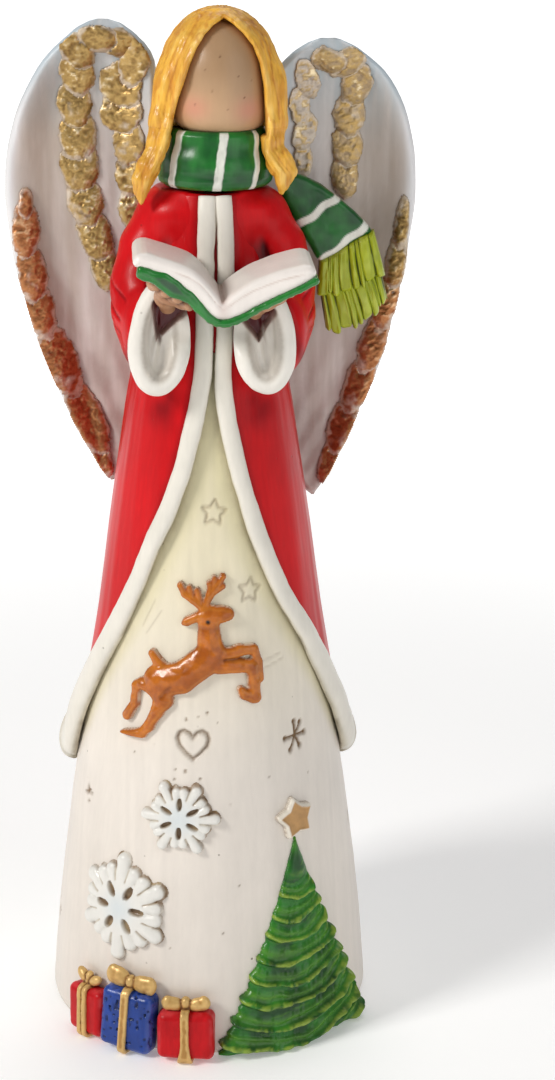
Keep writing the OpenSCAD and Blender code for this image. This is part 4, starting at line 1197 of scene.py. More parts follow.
def build_tail():
    def places(p):
        """Distance along the tail from the neck, and across it."""
        x, z = p[:, 0] - 19, p[:, 2] - 192
        return x * 0.60 + z * -0.80, x * -0.80 - z * 0.60

    def f(p):
        d2 = poly2(p[:, 0], p[:, 2], TAIL)
        t, cross = places(p)
        puff = 0.35 * np.sin(cross * 0.75 + 0.4 * np.sin(t * 0.5)) + 0.3 * np.sin(t * 0.42)
        d = smax(d2, np.abs(p[:, 1] - 3.4 - 0.25 * np.sin(t * 0.4)) - 2.1 - 0.5 * puff, 1.7)
        return d + 0.05 * fbm(p, 2.4, 2, 85)

    V, Q = surface(f, (13.4, -0.2, 172.8), (37, 7, 195), 0.3)
    hol = hollow(V, Q)
    t, cr = places(V)
    white = np.maximum(bump(t - 8.1 - 0.25 * np.sin(cr), 1.5),
                       bump(t - 17.3 - 0.05 * cr - 0.25 * np.sin(cr), 1.6))
    white = ease((white - 0.28) / 0.3)
    c = mix(GREEN, GREEN_HI, np.clip(0.35 + 0.55 * fbm(V, 4, 3, 86), 0, 1) * 0.8)
    c = mix(c, STRIPE, white)
    piece("scarf_end", V, Q, None, c, 0.6 * ease(hol / 0.05), "scarf", "scarf_tail")


def build_fringe(name, node, y, thick, ribs, seed, scallop, top, low):
    """Lime fringe: ribs running from its top edge to its scalloped lower edge."""
    nu, nv = 190, 84
    A, B = spline(top, nu), spline(low, nu)
    u = np.linspace(0, 1, nu)
    v = np.linspace(0, 1, nv)
    phase = ribs * u + 0.30 * np.sin(u * 15 + seed) + 0.12 * np.sin(u * 37 + 2 * seed)
    rib = np.abs(np.sin(math.pi * phase)) ** 0.4
    reach = 1 + scallop * (rib - 0.75) + 0.05 * np.sin(np.floor(phase) * 2.4 + seed)
    vv = v[None, :] * reach[:, None]
    sway = 0.5 * np.sin(v * 2.6 + seed)[None, :] * (1 - np.abs(2 * u - 1))[:, None]
    X = A[:, None, 0] + (B - A)[:, None, 0] * vv + sway
    Z = A[:, None, 1] + (B - A)[:, None, 1] * vv
    edge = np.minimum(np.minimum(u, 1 - u)[:, None] * 12, (np.minimum(v, 1 - v) * 9)[None, :])
    rim = arc(1 - np.clip(edge, 0, 1))
    grid = np.stack([np.repeat(phase, nv) * 2.2, np.tile(v, nu) * 2, np.zeros(nu * nv)], 1)
    hair = 0.30 * fbm(grid, 1, 3, seed)
    g = (0.75 * rib[:, None] + hair.reshape(nu, nv)) * (0.5 + 0.5 * rim)
    half = thick / 2 * rim + 0.03
    bow = 0.5 * np.sin(v * math.pi)[None, :] + 0.35 * np.sin(u * 5 + seed)[:, None]
    front = np.stack([X, y - bow - half - 0.85 * g * rim, Z], -1)
    back = np.stack([X, y - 0.3 * bow + half + 0.6 * g * rim, Z], -1)
    V, Q, used = slab(np.ones((nu, nv), bool), front, back)
    gg = both_faces(g, used)
    # painted shade down the grooves and painted highlight on the tops of the ribs
    c = mix([0.11, 0.145, 0.005], [0.33, 0.385, 0.012], ease((gg - 0.10) / 0.45))
    c = mix(c, [0.48, 0.54, 0.07], 0.7 * ease((gg - 0.62) / 0.2) * ease(0.5 + 0.6 * fbm(V, 3, 2, seed + 4)))
    c = tinted(c, V, 4, 0.09, seed + 2)
    piece(name, V, Q, None, c, 0.7 * ease((0.32 - gg) / 0.25), "fringe", node)


def build_scarf():
    build_scarf_wrap()
    build_tail()
    build_fringe("fringe_upper", "scarf_fringe_upper", 3.0, 2.4, 8, 3, 0.12,
                 [(24.2, 174.6), (27, 175.8), (30, 177.9), (33, 179.7), (36.2, 181.3)],
                 [(23.8, 166.6), (27.0, 166.8), (30.6, 167.2), (34.8, 169.0), (38.8, 171.8)])
    build_fringe("fringe_lower", "scarf_fringe_lower", 4.4, 2.0, 9, 6, 0.10,
                 [(24.4, 168.6), (28, 169.2), (31.6, 170.2), (34.8, 171.6), (37.8, 173)],
                 [(26.2, 158.2), (29.4, 158.2), (32.8, 159.4), (36.6, 161.8), (39.8, 165.4)])


# ---- wings -------------------------------------------------------------------

IN_L = np.array([[121, 21.5], [122.5, 19.6], [137, 13], [152, 7], [164, 2.2], [182, 2.2], [189, 6.5],
                 [196, 9], [204, 10.8], [216.4, 10.8], [220.4, 12.6], [224.4, 18.4], [225.3, 21.4]])
OUT_L = np.array([[121, 21.9], [125, 24.8], [136, 31], [153, 38], [171, 43], [186, 44.8], [196, 44.2],
                  [206, 41.6], [216.4, 36], [223, 29], [224.8, 25.4], [225.3, 23.6]])
IN_R = np.array([[116.8, 24.4], [118.6, 22.2], [134, 15], [150, 8], [162, 2.2], [180, 2.2], [187, 7],
                 [195, 10], [203, 13.4], [213, 14], [216.8, 16.4], [220.2, 22], [221.2, 25]])
OUT_R = np.array([[116.8, 24.9], [120.4, 27.2], [132, 33], [149, 40.4], [168, 44.7], [185, 47.2],
                  [196, 46.8], [206, 44.4], [214, 40], [218.8, 34], [220.8, 29.6], [221.2, 28.2]])
WING_T, WING_Y, WING_SWEEP = 6.0, 13.0, 5.0


def soft(table, z):
    """Smoothed look-up of an edge table."""
    out = 0
    for dz, k in ((-4, 1), (-2, 2), (0, 3), (2, 2), (4, 1)):
        out = out + k * np.interp(z + dz * ease((z - table[0, 0]) / 5) * ease((table[-1, 0] - z) / 5),
                                  table[:, 0], table[:, 1])
    return out / 9


def wing_front(e, z, z0, z1):
    """Front face of a wing in mm behind its middle plane: raised rim, dished middle."""
    rim = ease(np.minimum(e, 1 - e) / 0.3)
    return WING_T * (-0.5 + 0.56 * rim * ease(np.minimum((z - z0) / 22, (z1 - z) / 16)))


def swept(P, s):
    """Points of a flat wing moved behind the back and swept backwards on side s."""
    a = s * WING_SWEEP * RAD
    out = P.copy()
    out[..., 0] = P[..., 0] * math.cos(a) - P[..., 1] * math.sin(a)
    out[..., 1] = P[..., 0] * math.sin(a) + P[..., 1] * math.cos(a) + WING_Y
    return out


def build_wing(name, node, s, inner, outer, seed):
    z0, z1 = inner[0, 0], inner[-1, 0]
    f = np.linspace(0, 1, 330)
    levels = z0 + (z1 - z0) * (0.5 - 0.5 * np.cos(np.pi * f)) ** 0.9
    levels = z0 + (z1 - z0) * np.clip(levels - z0, 0.02, z1 - z0 - 0.02) / (z1 - z0)
    k = 90
    ef = 0.5 - 0.5 * np.cos(np.linspace(0, math.pi, k))
    rings = []
    for z in levels:
        a, b = soft(inner, z), soft(outer, z)
        w = max(b - a, 0.2)
        yb = WING_T * (-0.08 + 0.50 * np.sqrt(np.clip(1 - (2 * ef - 1) ** 4, 0, 1)))
        yf = wing_front(ef, z, z0, z1)
        # the rim rolls round from the front to the back
        roll = arc(1 - np.clip(np.minimum(ef, 1 - ef) * w / 1.7, 0, 1))
        thin = ease((z1 - z) / 3 + 0.15) * ease((z - z0) / 3 + 0.15)
        mid = -0.7
        yf = mid + (yf - mid) * roll * thin
        yb = mid + (yb - mid) * roll * thin
        x = s * (a + w * ef)
        front = np.stack([x, yf, np.full(k, z)], 1)
        back = np.stack([x, yb, np.full(k, z)], 1)
        rings.append(np.concatenate([front, back[::-1][1:-1]]))
    R = np.array(rings)
    flat = R.reshape(-1, 3)
    isback = np.tile(np.arange(R.shape[1]) >= k, len(levels))
    # uneven casting, low ribs that fan out from the root in front, feather rows behind
    x, z = np.abs(flat[:, 0]), flat[:, 2]
    a, b = soft(inner, z), soft(outer, z)
    e = np.clip((x - a) / np.maximum(b - a, 0.2), 0, 1)
    t = (z - z0) / (z1 - z0)
    deep = ease(np.minimum(e, 1 - e) / 0.18) * ease(np.minimum(t, 1 - t) / 0.08)
    rel = 0.22 * fbm(flat, 16, 2, seed) + 0.07 * fbm(flat, 4, 3, seed + 1)
    spread = np.arctan2(x - 4, z - 100) / RAD
    rel_front = rel + 0.16 * np.sin(spread * 0.9) * deep
    rel_back = 0.6 * rel - 1.15 * back_feathers(x, z) * deep
    flat[:, 1] += np.where(isback, -rel_back - 0.3, rel_front) * ease(np.minimum(e, 1 - e) / 0.04)
    V, Q, T = loft(swept(R, s))
    # the same for the two vertices that close the ends
    isb = np.append(isback, [True, True])
    e, t = np.append(e, [0.5, 0.5]), np.append(t, [0, 1])
    z, x = np.append(z, [z0, z1]), np.append(x, [20, 20])
    c, w = wing_paint(V, x, z, e, t, isb, seed)
    piece(name, V, Q, T, c, w, "wing", node)


def wing_paint(V, x, z, e, t, isb, seed):
    """Colour and wash of a wing; e runs across it from 0 to 1, t up it, and isb marks its back."""
    c = tinted([0.72, 0.665, 0.635], V, 12, 0.04, seed + 5)
    # blue-grey at the top and round the rim, pinkish brown low down inside
    side = np.minimum(e, 1 - e)
    edge = bump(side, 0.10)
    top = ease((t - 0.80) / 0.2)
    # streaks brushed down the dished face
    streak = fbm(np.stack([x, z / 14, np.full(len(x), float(seed))], 1), 1.6, 3, seed + 8)
    inside = ease(side / 0.16) * ~isb
    c = mix(c, [0.46, 0.385, 0.335], np.clip(inside * (0.62 + 0.45 * streak), 0, 1))
    # taupe in the outer half, lavender grey and then blue-grey towards the top
    c = mix(c, [0.40, 0.325, 0.265], 0.55 * inside * ease((e - 0.5) / 0.25) * ease((t - 0.25) / 0.3))
    c = mix(c, [0.50, 0.48, 0.49], 0.55 * inside * ease((0.55 - e) / 0.3) * ease((t - 0.3) / 0.3))
    grey = 0.8 * ease((t - 0.72) / 0.25) * (0.75 + 0.4 * streak)
    c = mix(c, [0.37, 0.43, 0.46], np.clip(grey, 0, 1) * ~isb)
    blue = 0.75 * top * (0.5 + 0.5 * edge) + 0.35 * edge * ease((z - 150) / 50)
    c = mix(c, [0.47, 0.545, 0.60], np.clip(blue, 0, 1))
    c = mix(c, [0.70, 0.69, 0.70], 0.7 * bump(side - 0.035, 0.04) * ease((0.9 - t) / 0.1))
    low = ease((0.62 - t) / 0.5) * ease(side / 0.12) * ~isb
    c = mix(c, [0.46, 0.35, 0.32], np.clip(0.70 * low * (0.7 + 0.5 * fbm(V, 14, 3, seed + 6)), 0, 1))
    w = 0.22 * low * ease(0.3 + fbm(V, 7, 3, seed + 7))
    return c, np.where(isb, 0.6 * ease((back_feathers(x, z) - 0.35) / 0.5), w)


def back_feathers(x, z):
    """Rows of long feathers on the back of a wing: depth of the grooves from 0 to 1."""
    reach = np.hypot(x + 6, z - 84)
    row = reach / 20.0
    cell = np.arctan2(x + 6, z - 84) / RAD / 5.2 + 0.5 * (np.floor(row) % 2)
    u = np.abs((cell % 1) * 2 - 1)
    v = row % 1
    # each feather ends in a rounded tip over the row beyond it
    tip = v + 0.22 * u * u
    step = ease((tip - 0.86) / 0.10) * (1 - ease((tip - 0.99) / 0.02))
    groove = ease((u - 0.80) / 0.2) * ease((0.95 - v) / 0.2)
    barb = 0.10 * np.abs(np.sin((reach + 2.4 * u) * 2.0))
    return np.clip(0.75 * groove + 0.9 * step + barb, 0, 1)


# dark, middle and bright tones of the leaf: the dark for painted shade, the bright for painted glints
GOLD_TONES = [0.26, 0.16, 0.055], [0.42, 0.275, 0.10], [0.84, 0.72, 0.50]
COPPER_TONES = [0.33, 0.125, 0.048], [0.43, 0.18, 0.072], [0.74, 0.46, 0.26]


def build_feathers(name, node, s, paint_name, proud, seed, feathers, leaf=1.0):
    """Overlapping scale-like feathers on a wing's front; each one lies over the one below it."""
    inner, outer = (IN_L, OUT_L) if s < 0 else (IN_R, OUT_R)
    z0, z1 = inner[0, 0], inner[-1, 0]
    F = np.array(feathers, float)
    reach = max(F[:, 2].max(), F[:, 3].max()) * 1.2 + 1
    lo, hi = F[:, :2].min(0) - reach, F[:, :2].max(0) + reach
    X, Z = np.meshgrid(np.arange(lo[0], hi[0], 0.22), np.arange(lo[1], hi[1], 0.22))
    flat = np.stack([X.ravel(), Z.ravel(), np.full(X.size, float(seed))], 1)
    warp = vnoise(flat / 2.3, seed).reshape(X.shape)
    rough = fbm(flat, 1.2, 3, seed + 1, (1, 0.7, 1)).reshape(X.shape)
    H = np.full(X.shape, -1.0)
    D = np.full(X.shape, -9.0)
    W = np.zeros(X.shape)
    for i in np.argsort(F[:, 1]):
        x, z, hw, hh, lean = F[i]
        u, v = turned(X - x, Z - z, lean * RAD)
        u, v = u / hw, -v / (hh * 1.12)
        m = min(hw, hh)
        d = (np.sqrt(u * u + v * v) - 1 + 0.10 * warp + 0.06 * rough) * m
        body = arc(np.clip(1 + d / (0.8 * m), 0, 1))
        # thick at the lower lip, sinking under the next feather above
        h = proud * (0.25 + 0.75 * body) * (0.45 + 0.55 * ease((v + 0.8) / 1.4))
        # fine uneven strokes down the feather and a shallow quill
        comb = np.sin((u * hw * 1.2 + 0.9 * warp + (0.5 + 0.8 * np.abs(u)) * v * hh) * 2 * math.pi / 1.5)
        h = h + (0.02 * comb + 0.18 * rough) * body
        top = (d < 0) & (h > H - 0.35 * proud)
        H = np.where(top, np.maximum(h, 0.14), H)
        D = np.where(top, d, D)
        W = np.where(top, 0.08 * comb + 1.15 * rough, W)
    keep = H > -0.5
    sa, sb = soft(inner, Z), soft(outer, Z)
    base = wing_front(np.clip((s * X - sa) / (sb - sa), 0, 1), Z, z0, z1)
    keep &= (s * X > sa + 0.4) & (s * X < sb - 0.4)
    V, Q, used = slab(keep, np.stack([X, base - np.maximum(H, 0) - 0.12, Z], -1),
                      np.stack([X, base + 0.9, Z], -1))
    V = swept(V, s)
    g, lip = both_faces(W, used), both_faces(D, used)
    patch = fbm(V, 5, 3, seed + 9)
    # the copper feathers turn to gold towards the top of the right rim
    golden = np.full(len(V), float(paint_name == "gold"))
    if paint_name == "copper" and s > 0:
        golden = ease((V[:, 2] - 160) / 14)
    dark, middle, glint_tone = [mix(a, b, golden) for a, b in zip(COPPER_TONES, GOLD_TONES)]
    # painted shade in the dips of the leaf and painted glints on its raised strokes
    c = mix(dark, middle, ease((g + 1.0) / 1.3))
    c = mix(c, glint_tone, 0.8 * ease((g - 0.2) / 0.7) * ease(0.3 + 0.9 * patch))
    # the lip keeps the wing's pale paint, and the leaf is rubbed through in places
    worn = fbm(V, 2.2, 3, seed + 13)
    bare = np.maximum(ease((lip + 0.70 + 0.5 * worn) / 0.5) * 0.55,
                      0.8 * ease(-0.35 - 0.7 * patch - 0.6 * worn))
    bare = np.maximum(bare, (1 - leaf) * ease(0.5 - 0.8 * g))
    c = mix(c, [0.64, 0.57, 0.50], bare)
    piece(name, V, Q, None, c, 0.35 * ease((-g - 0.6) / 0.9), paint_name, node,
          {"metal": np.clip(1 - bare - 0.15 * ease(-g - 0.5), 0, 1)})


def build_wings():
    build_wing("wing_plate_left", "wing_left", -1, IN_L, OUT_L, 91)
    build_wing("wing_plate_right", "wing_right", 1, IN_R, OUT_R, 95)
    # each feather: middle, half width, half height and lean in degrees
    build_feathers("plumes_inner_left", "feathers_inner_left", -1, "gold", 1.5, 101,
                   [(-15.4, 216.8, 3.4, 5.6, -14), (-18.4, 211.4, 5.0, 4.6, 6), (-18.8, 205.6, 4.7, 4.6, 4),
                    (-17.2, 199.0, 3.8, 5.0, 0), (-17.0, 191.6, 3.3, 5.0, 0), (-16.8, 184.6, 2.9, 4.6, 0)])
    build_feathers("plumes_middle_left", "feathers_middle_left", -1, "gold", 1.7, 105,
                   [(-18.6, 220.4, 3.2, 3.6, -70), (-23.4, 221.2, 3.0, 4.0, 80),
                    (-28.0, 218.6, 3.4, 4.2, 40), (-28.0, 213.6, 3.9, 4.6, 14), (-28.9, 207.2, 4.0, 5.0, 0),
                    (-28.4, 200.2, 4.4, 5.1, 0), (-28.0, 193.2, 4.5, 5.4, 2), (-26.9, 185.8, 4.2, 5.7, 8),
                    (-24.9, 178.0, 4.0, 5.7, 14), (-23.0, 170.8, 3.3, 5.2, 14)])
    build_feathers("plumes_edge_left", "feathers_edge_left", -1, "copper", 1.7, 109,
                   [(-39.8, 185.2, 1.7, 3.4, 0), (-40.0, 179.2, 3.1, 6.0, 0), (-38.8, 169.6, 3.3, 6.1, 8),
                    (-37.0, 161.0, 3.3, 6.0, 14), (-33.0, 149.6, 3.9, 8.2, 22), (-27.0, 136.2, 3.8, 8.0, 25),
                    (-23.9, 127.2, 2.3, 4.6, 22)])
    build_feathers("plumes_inner_right", "feathers_inner_right", 1, "gold", 0.9, 113,
                   [(22.0, 212.4, 2.6, 4.4, 24), (20.6, 206.4, 2.6, 4.2, 6), (21.8, 200.6, 2.8, 4.0, -20),
                    (21.6, 194.8, 2.2, 3.7, 4)], 0.25)
    build_feathers("plumes_middle_right", "feathers_middle_right", 1, "gold", 1.4, 117,
                   [(26.4, 216.6, 2.8, 3.8, 70), (30.8, 216.2, 3.0, 4.2, -60), (33.0, 211.0, 3.4, 4.6, -12),
                    (31.8, 204.4, 3.7, 4.7, 0), (31.6, 197.6, 3.7, 4.7, 0), (31.2, 190.8, 3.1, 4.8, 6)], 0.8)
    build_feathers("plumes_edge_right", "feathers_edge_right", 1, "copper", 1.7, 121,
                   [(43.6, 180.0, 1.7, 5.8, -6), (42.6, 171.8, 2.5, 6.2, -8), (40.6, 162.8, 2.8, 6.4, -12),
                    (37.8, 153.0, 3.0, 6.6, -18), (34.6, 143.4, 3.1, 6.6, -21), (31.2, 134.0, 3.0, 6.4, -22),
                    (28.2, 125.8, 2.4, 5.4, -20)])


# ---- reliefs on the gown -----------------------------------------------------

SINK = 1.3  # reliefs reach this far into the gown


def on_gown(name, node, paint_name, centre, size, step, shape, colour, more=None):
    """Relief on the gown. shape(x, z) gives its height and what colour needs, in mm from the centre."""
    a0, zc = centre
    X, Z = np.meshgrid(*[np.arange(-half, half + step / 2, step) for half in size])
    H, info = shape(X, Z)
    A = a0 + X / float(r_gown(zc)) / RAD
    # the gown slopes, so heights shrink a little
    Zg = zc + Z * 0.985
    R = gown_radius(A, Zg)
    V, Q, used = slab(H > 0.02, polar(A, R + H, Zg), polar(A, R - SINK, Zg))
    c, w = colour(V, *[both_faces(k, used) for k in info])
    piece(name, V, Q, None, c, w, paint_name, node, more)


DEER = [  # two ends of each limb and the radius at each
    ((-7.4, -5.4), (-3.0, -4.4), 3.5, 3.2), ((-3.0, -4.4), (1.2, -1.0), 3.2, 3.1),
    ((1.2, -1.0), (3.7, 0.9), 3.1, 3.3), ((3.4, 1.6), (3.2, 5.6), 3.0, 2.3),
    ((3.1, 5.2), (3.0, 9.2), 2.3, 2.3), ((3.2, 10.0), (6.0, 10.1), 2.2, 1.7),
    ((6.0, 10.1), (7.4, 10.2), 1.65, 1.4), ((0.8, 9.8), (-1.9, 8.4), 1.0, 0.9),
    ((-1.9, 8.4), (-2.6, 8.0), 0.8, 0.5), ((-7.6, -2.0), (-9.6, 0.4), 1.3, 0.85),
    ((1.4, 11.8), (-0.6, 13.4), 0.85, 0.85), ((-0.6, 13.4), (-2.6, 14.6), 0.8, 0.8),
    ((-2.6, 14.6), (-3.7, 16.4), 0.75, 0.75), ((-1.0, 13.9), (-1.5, 16.0), 0.75, 0.65),
    ((1.0, 13.0), (0.4, 15.4), 0.7, 0.7), ((2.2, 12.2), (3.4, 14.6), 0.85, 0.85),
    ((3.4, 14.6), (5.0, 16.6), 0.8, 0.8), ((5.0, 16.6), (6.5, 18.6), 0.75, 0.7),
    ((3.5, 14.8), (3.2, 17.0), 0.7, 0.7), ((4.3, 15.8), (4.4, 18.2), 0.7, 0.65),
    ((4.6, 15.4), (6.4, 16.4), 0.7, 0.65), ((5.4, -1.0), (9.4, -1.4), 2.1, 1.6),
    ((9.4, -1.4), (12.2, -1.9), 1.55, 1.35), ((12.2, -1.9), (12.7, -5.6), 1.35, 1.15),
    ((12.7, -5.6), (12.6, -9.0), 1.15, 1.3), ((12.4, -9.0), (10.6, -8.2), 1.25, 1.1),
    ((10.6, -8.2), (9.8, -7.0), 1.1, 0.8), ((5.8, 1.0), (9.8, 1.9), 1.4, 1.15),
    ((9.8, 1.9), (13.0, 1.7), 1.1, 1.0), ((13.0, 1.7), (14.0, -1.4), 1.0, 0.85),
    ((14.0, -1.4), (14.0, -5.0), 0.85, 0.8), ((-8.6, -7.4), (-11.4, -6.8), 1.8, 1.2),
    ((-11.4, -6.8), (-12.8, -7.6), 1.15, 1.0), ((-12.8, -7.6), (-12.9, -11.8), 0.95, 0.85),
    ((-12.9, -11.8), (-14.4, -14.8), 0.9, 1.1), ((-7.2, -6.6), (-6.4, -9.6), 3.1, 2.1),
    ((-6.4, -9.6), (-7.6, -12.6), 2.0, 1.3), ((-7.6, -12.6), (-9.2, -16.2), 1.25, 1.05),
    ((-9.2, -16.2), (-10.8, -18.2), 1.05, 1.0), ((-10.8, -18.2), (-14.6, -19.4), 1.05, 1.1)]


def deer_shape(X, Z):
    d = np.full(X.shape, 50.0)
    H = np.zeros(X.shape)
    for a, b, ra, rb in DEER:
        ra, rb = 1.06 * ra + 0.12, 1.06 * rb + 0.12
        k = cap2(X, Z, a, b, ra, rb)
        r = (ra + rb) / 2
        h = 0.75 + 0.72 * min(r, 2.6) * arc(np.clip(1 + k / r, 0, 1))
        h = np.where(k < 0, h * ease((-k + 0.02) / 0.25 + 0.35), 0)
        H = np.maximum(H, h)
        d = smin(d, k, 0.7)
    H = np.where(d < 0, np.maximum(H, 0.75 * ease((-d + 0.02) / 0.25 + 0.35)), 0)
    H = np.minimum(H, 0.6 + 2.1 * np.sqrt(np.clip(-d, 0, 3) / 3)) * (d < 0)
    eye = np.hypot(X - 2.9, Z - 8.9)
    H = H - 0.25 * ease(1.2 - eye / 0.5)
    # crease between the forelegs, behind the jaw and at the haunch
    folds = [cap2(X, Z, (6.4, 0.2), (12.0, 0.1)), cap2(X, Z, (-4.6, -6.2), (-6.4, -8.6)),
             cap2(X, Z, (1.2, 7.4), (4.6, 7.0))]
    H = H - 0.40 * bump(folds[0], 0.45) - 0.20 * bump(folds[1], 0.6) - 0.12 * bump(folds[2], 0.8)
    lumps = 0.10 * noise2(X / 1.5, Z / 1.5, 12)
    H = (H + lumps) * (d < 0)
    mark = ease(1.35 - eye / 0.56)
    crease = bump(folds[0], 0.7) + 0.6 * bump(folds[1], 0.9) + 0.4 * bump(folds[2], 1.0)
    return H, (d, mark, crease)


def deer_colour(V, d, mark, crease):
    c = mix([0.34, 0.078, 0.004], [0.50, 0.135, 0.008], ease(0.5 + 0.6 * fbm(V, 3.2, 3, 131, (1, 1, 0.7))))
    c = mix(c, [0.60, 0.22, 0.03], 0.35 * ease(1 - np.abs(d + 0.8) / 0.5))
    # painted shade in the creases
    c = mix(c, [0.13, 0.03, 0.006], 0.7 * np.clip(crease, 0, 1))
    c = mix(c, [0.74, 0.66, 0.52], 0.85 * ease(1 + (d + 0.02) / 0.26))
    c = mix(c, [0.012, 0.01, 0.01], mark)
    return c, 0.1 * ease(1 + d / 0.3)


def flake_shape(r, turn, slots, petal_r, tip):
    """Six arms with paired petals, and a leaf-shaped slot between each two arms."""
    start, end, wide = slots

    def shape(X, Z):
        d = np.hypot(X, Z) - r * 0.58
        slot = np.full(X.shape, 9.0)
        for i in range(6):
            a = (turn + 60 * i) * RAD
            u, v = turned(X, Z, a)
            arm = cap2(u, v, (0, 0), (r * 0.82, 0), tip * 1.4, tip * 1.15)
            ball = np.hypot(u - r * (0.86 + 0.03 * math.sin(2.1 * i + r)), v) - tip * 1.25
            d = smin(smin(d, arm, 0.4), ball, 0.4)
            for sg in (-1, 1):
                petal = cap2(u, v * sg, (r * 0.40, r * 0.05), (petal_r, r * 0.25), tip * 1.25, tip * 1.15)
                d = smin(d, petal, 0.35)
            u, v = turned(X, Z, a + 30 * RAD)
            w = wide * arc((u - (start + end) / 2) / ((end - start) / 2))
            slot = np.minimum(slot, np.where((u > start) & (u < end), np.abs(v) - w, 1.0))
        warp = 0.10 * noise2(X / 1.6, Z / 1.6, 7, r)
        d = d + warp
        H = (0.35 + 1.25 * arc(np.clip(1 + d / (tip * 1.15), 0, 1))) * (d < 0)
        sunk = ease(0.5 - slot / 0.35)
        H = H * (1 - 0.72 * sunk)
        # grooves that separate the petals from the arms
        groove = np.zeros(X.shape)
        for i in range(6):
            u, v = turned(X, Z, (turn + 60 * i) * RAD)
            for sg in (-1, 1):
                line = cap2(u, v * sg, (r * 0.52, tip * 0.9), (r * 0.74, tip * 1.3))
                groove = np.maximum(groove, bump(line, 0.36))
        H = H - 0.30 * groove * (d < -0.1)
        # a thin stained edge where the casting meets the gown
        stain = 0.16 + 0.42 * warp / 0.1 + 0.22 * (X + Z) / r
        H = np.maximum(H, 0.14 * ((d >= -0.05) & (d < np.clip(stain, 0.05, 0.7))))
        return H, (d, sunk, groove, X, Z)
    return shape


def flake_colour(V, d, sunk, groove, X, Z):
    r = np.hypot(X, Z)
    side = ease(0.5 + (X + Z) / (r + 3))
    c = mix([0.77, 0.75, 0.70], [0.60, 0.67, 0.70], 0.65 * ease(1 - r / 6.0))
    c = mix(c, [0.30, 0.20, 0.09], np.clip(0.95 * sunk, 0, 1))
    c = mix(c, [0.45, 0.35, 0.20], 0.55 * groove)
    blot = ease(0.5 + 1.1 * fbm(V, 2.4, 2, 143))
    c = mix(c, mix([0.72, 0.66, 0.57], [0.36, 0.25, 0.12], blot * (0.35 + 0.65 * side)),
            ease((d + 0.05) / 0.1))
    w = 0.7 * sunk + 0.6 * groove * (0.4 + 0.6 * side) + 0.8 * ease(1 + d / 0.4) * (0.3 + 0.7 * side)
    return c, np.clip(w, 0, 1) * ease(0.75 + fbm(V, 2.2, 2, 141))


def star_shape(X, Z):
    d = star2(X, Z, 4.3, 0.64, 97) - 0.75
    d = d + 0.08 * noise2(X / 1.5, Z / 1.5, 3)
    # a flat face inside a soft raised edge
    H = 0.5 + 1.3 * np.sqrt(np.clip(-d, 0, 0.8) / 0.8) - 0.25 * ease((-d - 0.7) / 0.5)
    return H * (d < 0.0), (d,)


def star_colour(V, d):
    c = tinted([0.50, 0.275, 0.10], V, 1.8, 0.12, 145)
    return mix(c, [0.76, 0.70, 0.60], ease((d + 0.95) / 0.35)), 0.5 * ease(1 + d / 0.25)


# ---- tree --------------------------------------------------------------------

# height, the angles of its foot's ends and of its tip, and the heights at which its tiers begin
TREE_TOP, TREE_A = 49.6, (-0.6, 63.2, 33.9)
TIERS = [-11.0, -5.4, 0.0, 5.2, 10.4, 15.5, 20.5, 25.4, 30.2, 35.0, 39.6, 60]


def build_tree():
    A, Z = np.meshgrid(np.arange(-3.5, 67, 0.42), np.arange(0.7, TREE_TOP, 0.25))
    t = Z / TREE_TOP
    left, right, tip = TREE_A
    left, right = left + (tip - left) * t, right + (tip - right) * t
    half = (right - left) / 2
    mid = (right + left) / 2
    u = (A - mid) / np.maximum(half, 0.6)
    R0 = gown_radius(A, Z)
    S = (A - mid) * RAD * R0
    knots = noise2(S / 1.5, Z / 2.4, 152)
    # garlands: curved ridges that sag in the middle and lift at the right
    sag = -5.4 * (1 - t) ** 0.8 * (u + 0.22) ** 2
    wob = 0.30 * np.sin(S * 0.30 + Z * 0.5) + 0.35 * noise2(S / 3.2, Z / 3.6, 151)
    zz = Z + sag + wob
    tier = np.interp(zz, TIERS, np.arange(len(TIERS)) + 1.0)
    k = tier % 1
    # each tier swells to a lip low down and tucks in above
    lip = np.exp(-((k - 0.16) / 0.11) ** 2) + 0.35 * np.exp(-((k - 0.58) / 0.09) ** 2)
    shelf = ease(1 - k) * ease(k / 0.12)
    scallop = 0.075 * (np.exp(-((k - 0.2) / 0.2) ** 2) - 0.35) * (1 - 0.5 * t) * ease((41.5 - Z) / 3)
    d = (np.abs(u) - 1 - scallop - 0.02 * np.sin(Z * 2.3)) * np.maximum(half * RAD * R0, 0.9)
    d = np.maximum(d, Z - TREE_TOP + 0.3)
    proud = 3.7 - 1.9 * t
    body = arc(1 - np.clip(-d / 2.6, 0, 1))
    # the garlands stand out most at the right, where their ends are stacked
    lip = lip * (1 + 0.7 * ease((u - 0.45) / 0.5)) * (1 + 0.35 * knots)
    H = body * (proud * (0.50 + 0.22 * shelf) + 1.2 * lip * (1 - 0.35 * t) * ease((41.5 - Z) / 3))
    # needles drawn down through each tier
    along = S * 0.9 - (k - 0.5) * 1.2 + 0.7 * wob
    needle = noise2(along / 0.55, tier * 1.3, 153)
    fine = np.sin(zz * 2 * math.pi / 1.25 + 0.8 * wob) * 0.5
    H = H + body * (0.13 * needle + 0.10 * fine) * (1 - 0.3 * t) * (0.3 + 0.7 * ease((43 - Z) / 3))
    H = np.where(d < 0, np.maximum(H, 0.12), 0)
    V, Q, used = slab(H > 0.02, polar(A, R0 + H, Z), polar(A, R0 - SINK, Z))
    lip, needle, fine, k = [both_faces(q, used) for q in (lip, needle, fine, k)]
    c = tree_colour(V, lip, needle, fine, k)
    piece("tree_body", V, Q, None, c, 0, "tree", "tree")


